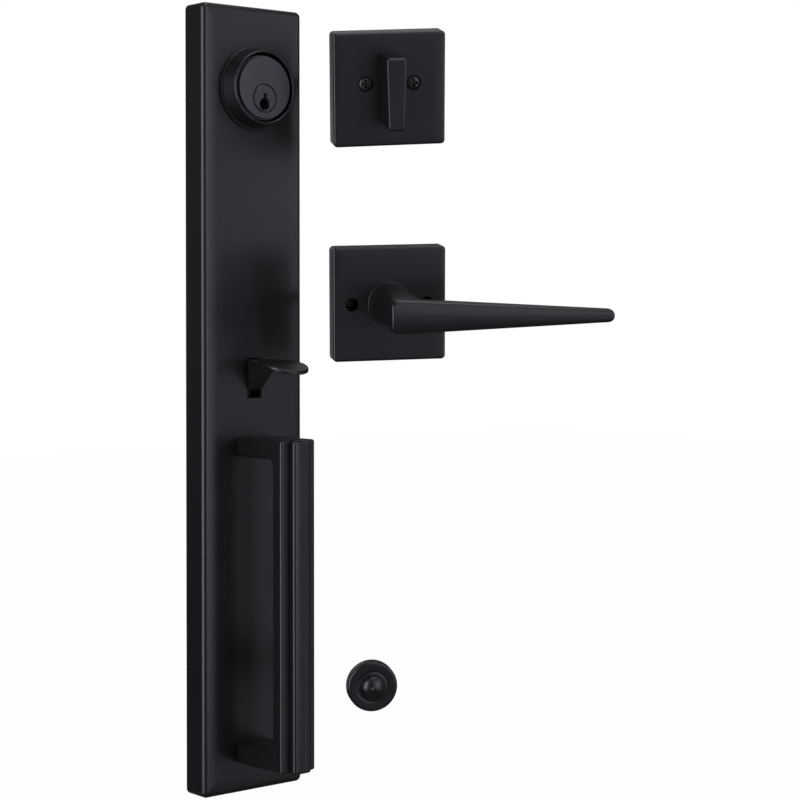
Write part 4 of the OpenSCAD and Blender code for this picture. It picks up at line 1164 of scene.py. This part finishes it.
@dataclass
class Studio:
    """Camera, lamps, pale floor and surroundings."""

    floor_z: float = -0.55
    floor_half: float = 6.0
    floor_tone: float = 0.15
    floor_white: float = 0.985
    world_glow: float = 0.09
    camera_at: Triple = (-0.71156, -1.00687, 0.05932)
    camera_turn: Triple = (89.0, 0.0, -39.954)
    lens: float = 90.657
    shift: tuple[float, float] = (-0.002125, -0.079375)
    boxes: tuple[Softbox, ...] = (
        Softbox("right_upper", (0.55, -0.53, 0.30), (0.36, 0.62), 1.0, (0.0, 0.0, 0.1)),
        Softbox("right_lower", (0.49, -0.56, -0.26), (0.24, 0.48), 0.55, (0.0, 0.0, -0.1)),
        Softbox("front_box", (0.30, -1.34, 0.10), (0.46, 1.3), 2.6),
        Softbox("trims_key", (-0.22, -1.33, 0.46), (0.40, 1.05), 1.25),
        Softbox("camera_fill", (-0.26, -1.22, -0.27), (0.7, 0.52), 0.33),
        Softbox("left_box", (-1.12, -0.14, 0.10), (0.75, 1.3), 4.2),
        Softbox("back_high", (0.62, 0.78, 1.02), (1.0, 0.6), 0.55),
        Softbox("back_side", (0.36, 1.02, 0.08), (0.45, 1.0), 0.30),
        Softbox("top_key", (0.15, -0.35, 1.30), (0.9, 0.9), 2.2),
    )

    def build(self) -> None:
        """Sets the view, the world, the floor, the lamps and the camera."""
        scene = bpy.context.scene
        scene.view_settings.view_transform = "Standard"
        self._world(scene)
        self._floor()
        for box in self.boxes:
            box.build()
        self._camera(scene)

    def _world(self, scene: bpy.types.Scene) -> None:
        """Makes the surroundings white to the camera and dim to the object."""
        world = bpy.data.worlds.new("studio_surround")
        world.use_nodes = True
        world.node_tree.nodes.clear()
        board = Board(world.node_tree)
        sink = board.add("ShaderNodeOutputWorld")
        path = board.add("ShaderNodeLightPath")
        dim = board.add("ShaderNodeBackground")
        board.fill(dim, {"Color": (1, 1, 1, 1), "Strength": self.world_glow})
        white = board.add("ShaderNodeBackground")
        board.fill(white, {"Color": (1, 1, 1, 1), "Strength": 1.0})
        mix = board.add("ShaderNodeMixShader")
        board.link(path, "Is Camera Ray", mix, "Fac")
        board.link(dim, "Background", mix, 1)
        board.link(white, "Background", mix, 2)
        board.link(mix, "Shader", sink, "Surface")
        scene.world = world

    def _floor(self) -> None:
        """Lays a pale floor under the object, white to the camera but for the shadow on it."""
        bm = bmesh.new()
        bmesh.ops.create_grid(bm, x_segments=1, y_segments=1, size=self.floor_half)
        bmesh.ops.translate(bm, vec=(0, 0, self.floor_z), verts=bm.verts)
        mesh = bpy.data.meshes.new("floor")
        bm.to_mesh(mesh)
        bm.free()
        material = bpy.data.materials.new("pale_floor")
        material.use_nodes = True
        material.node_tree.nodes.clear()
        board = Board(material.node_tree)
        sink = board.add("ShaderNodeOutputMaterial")
        path = board.add("ShaderNodeLightPath")
        matt = board.add("ShaderNodeBsdfDiffuse")
        matt.inputs["Color"].default_value = (self.floor_tone, self.floor_tone, self.floor_tone, 1)
        glow = board.add("ShaderNodeEmission")
        glow.inputs["Strength"].default_value = 1.0
        share = board.add("ShaderNodeMath", operation="MULTIPLY")
        share.inputs[1].default_value = self.floor_white
        mix = board.add("ShaderNodeMixShader")
        board.link(path, "Is Camera Ray", share, 0)
        board.link(share, 0, mix, "Fac")
        board.link(matt, "BSDF", mix, 1)
        board.link(glow, "Emission", mix, 2)
        board.link(mix, "Shader", sink, "Surface")
        mesh.materials.append(material)
        floor = bpy.data.objects.new("floor", mesh)
        bpy.context.scene.collection.objects.link(floor)

    def _camera(self, scene: bpy.types.Scene) -> None:
        """Sets the camera where the photograph was taken from."""
        camera = bpy.data.cameras.new("camera")
        camera.sensor_width = 36.0
        camera.lens = self.lens
        camera.shift_x, camera.shift_y = self.shift
        camera.clip_start = 0.05
        camera.clip_end = 50.0
        shown = bpy.data.objects.new("camera", camera)
        shown.location = self.camera_at
        shown.rotation_euler = tuple(math.radians(turn) for turn in self.camera_turn)
        scene.collection.objects.link(shown)
        scene.camera = shown


def main() -> None:
    """Builds the studio and every sub-assembly."""
    logging.basicConfig(level=logging.INFO, format="%(name)s %(message)s")
    Studio().build()
    shop = Workshop()
    for part in (TallPlate(), KeyCylinder(), ThumbLatch(), PullGrip(), DeadboltTrim(), LeverTrim(), Finial()):
        part.build(shop)
        LOG.info("%s done", type(part).__name__)
    bpy.context.view_layer.update()


if __name__ == "__main__":
    main()
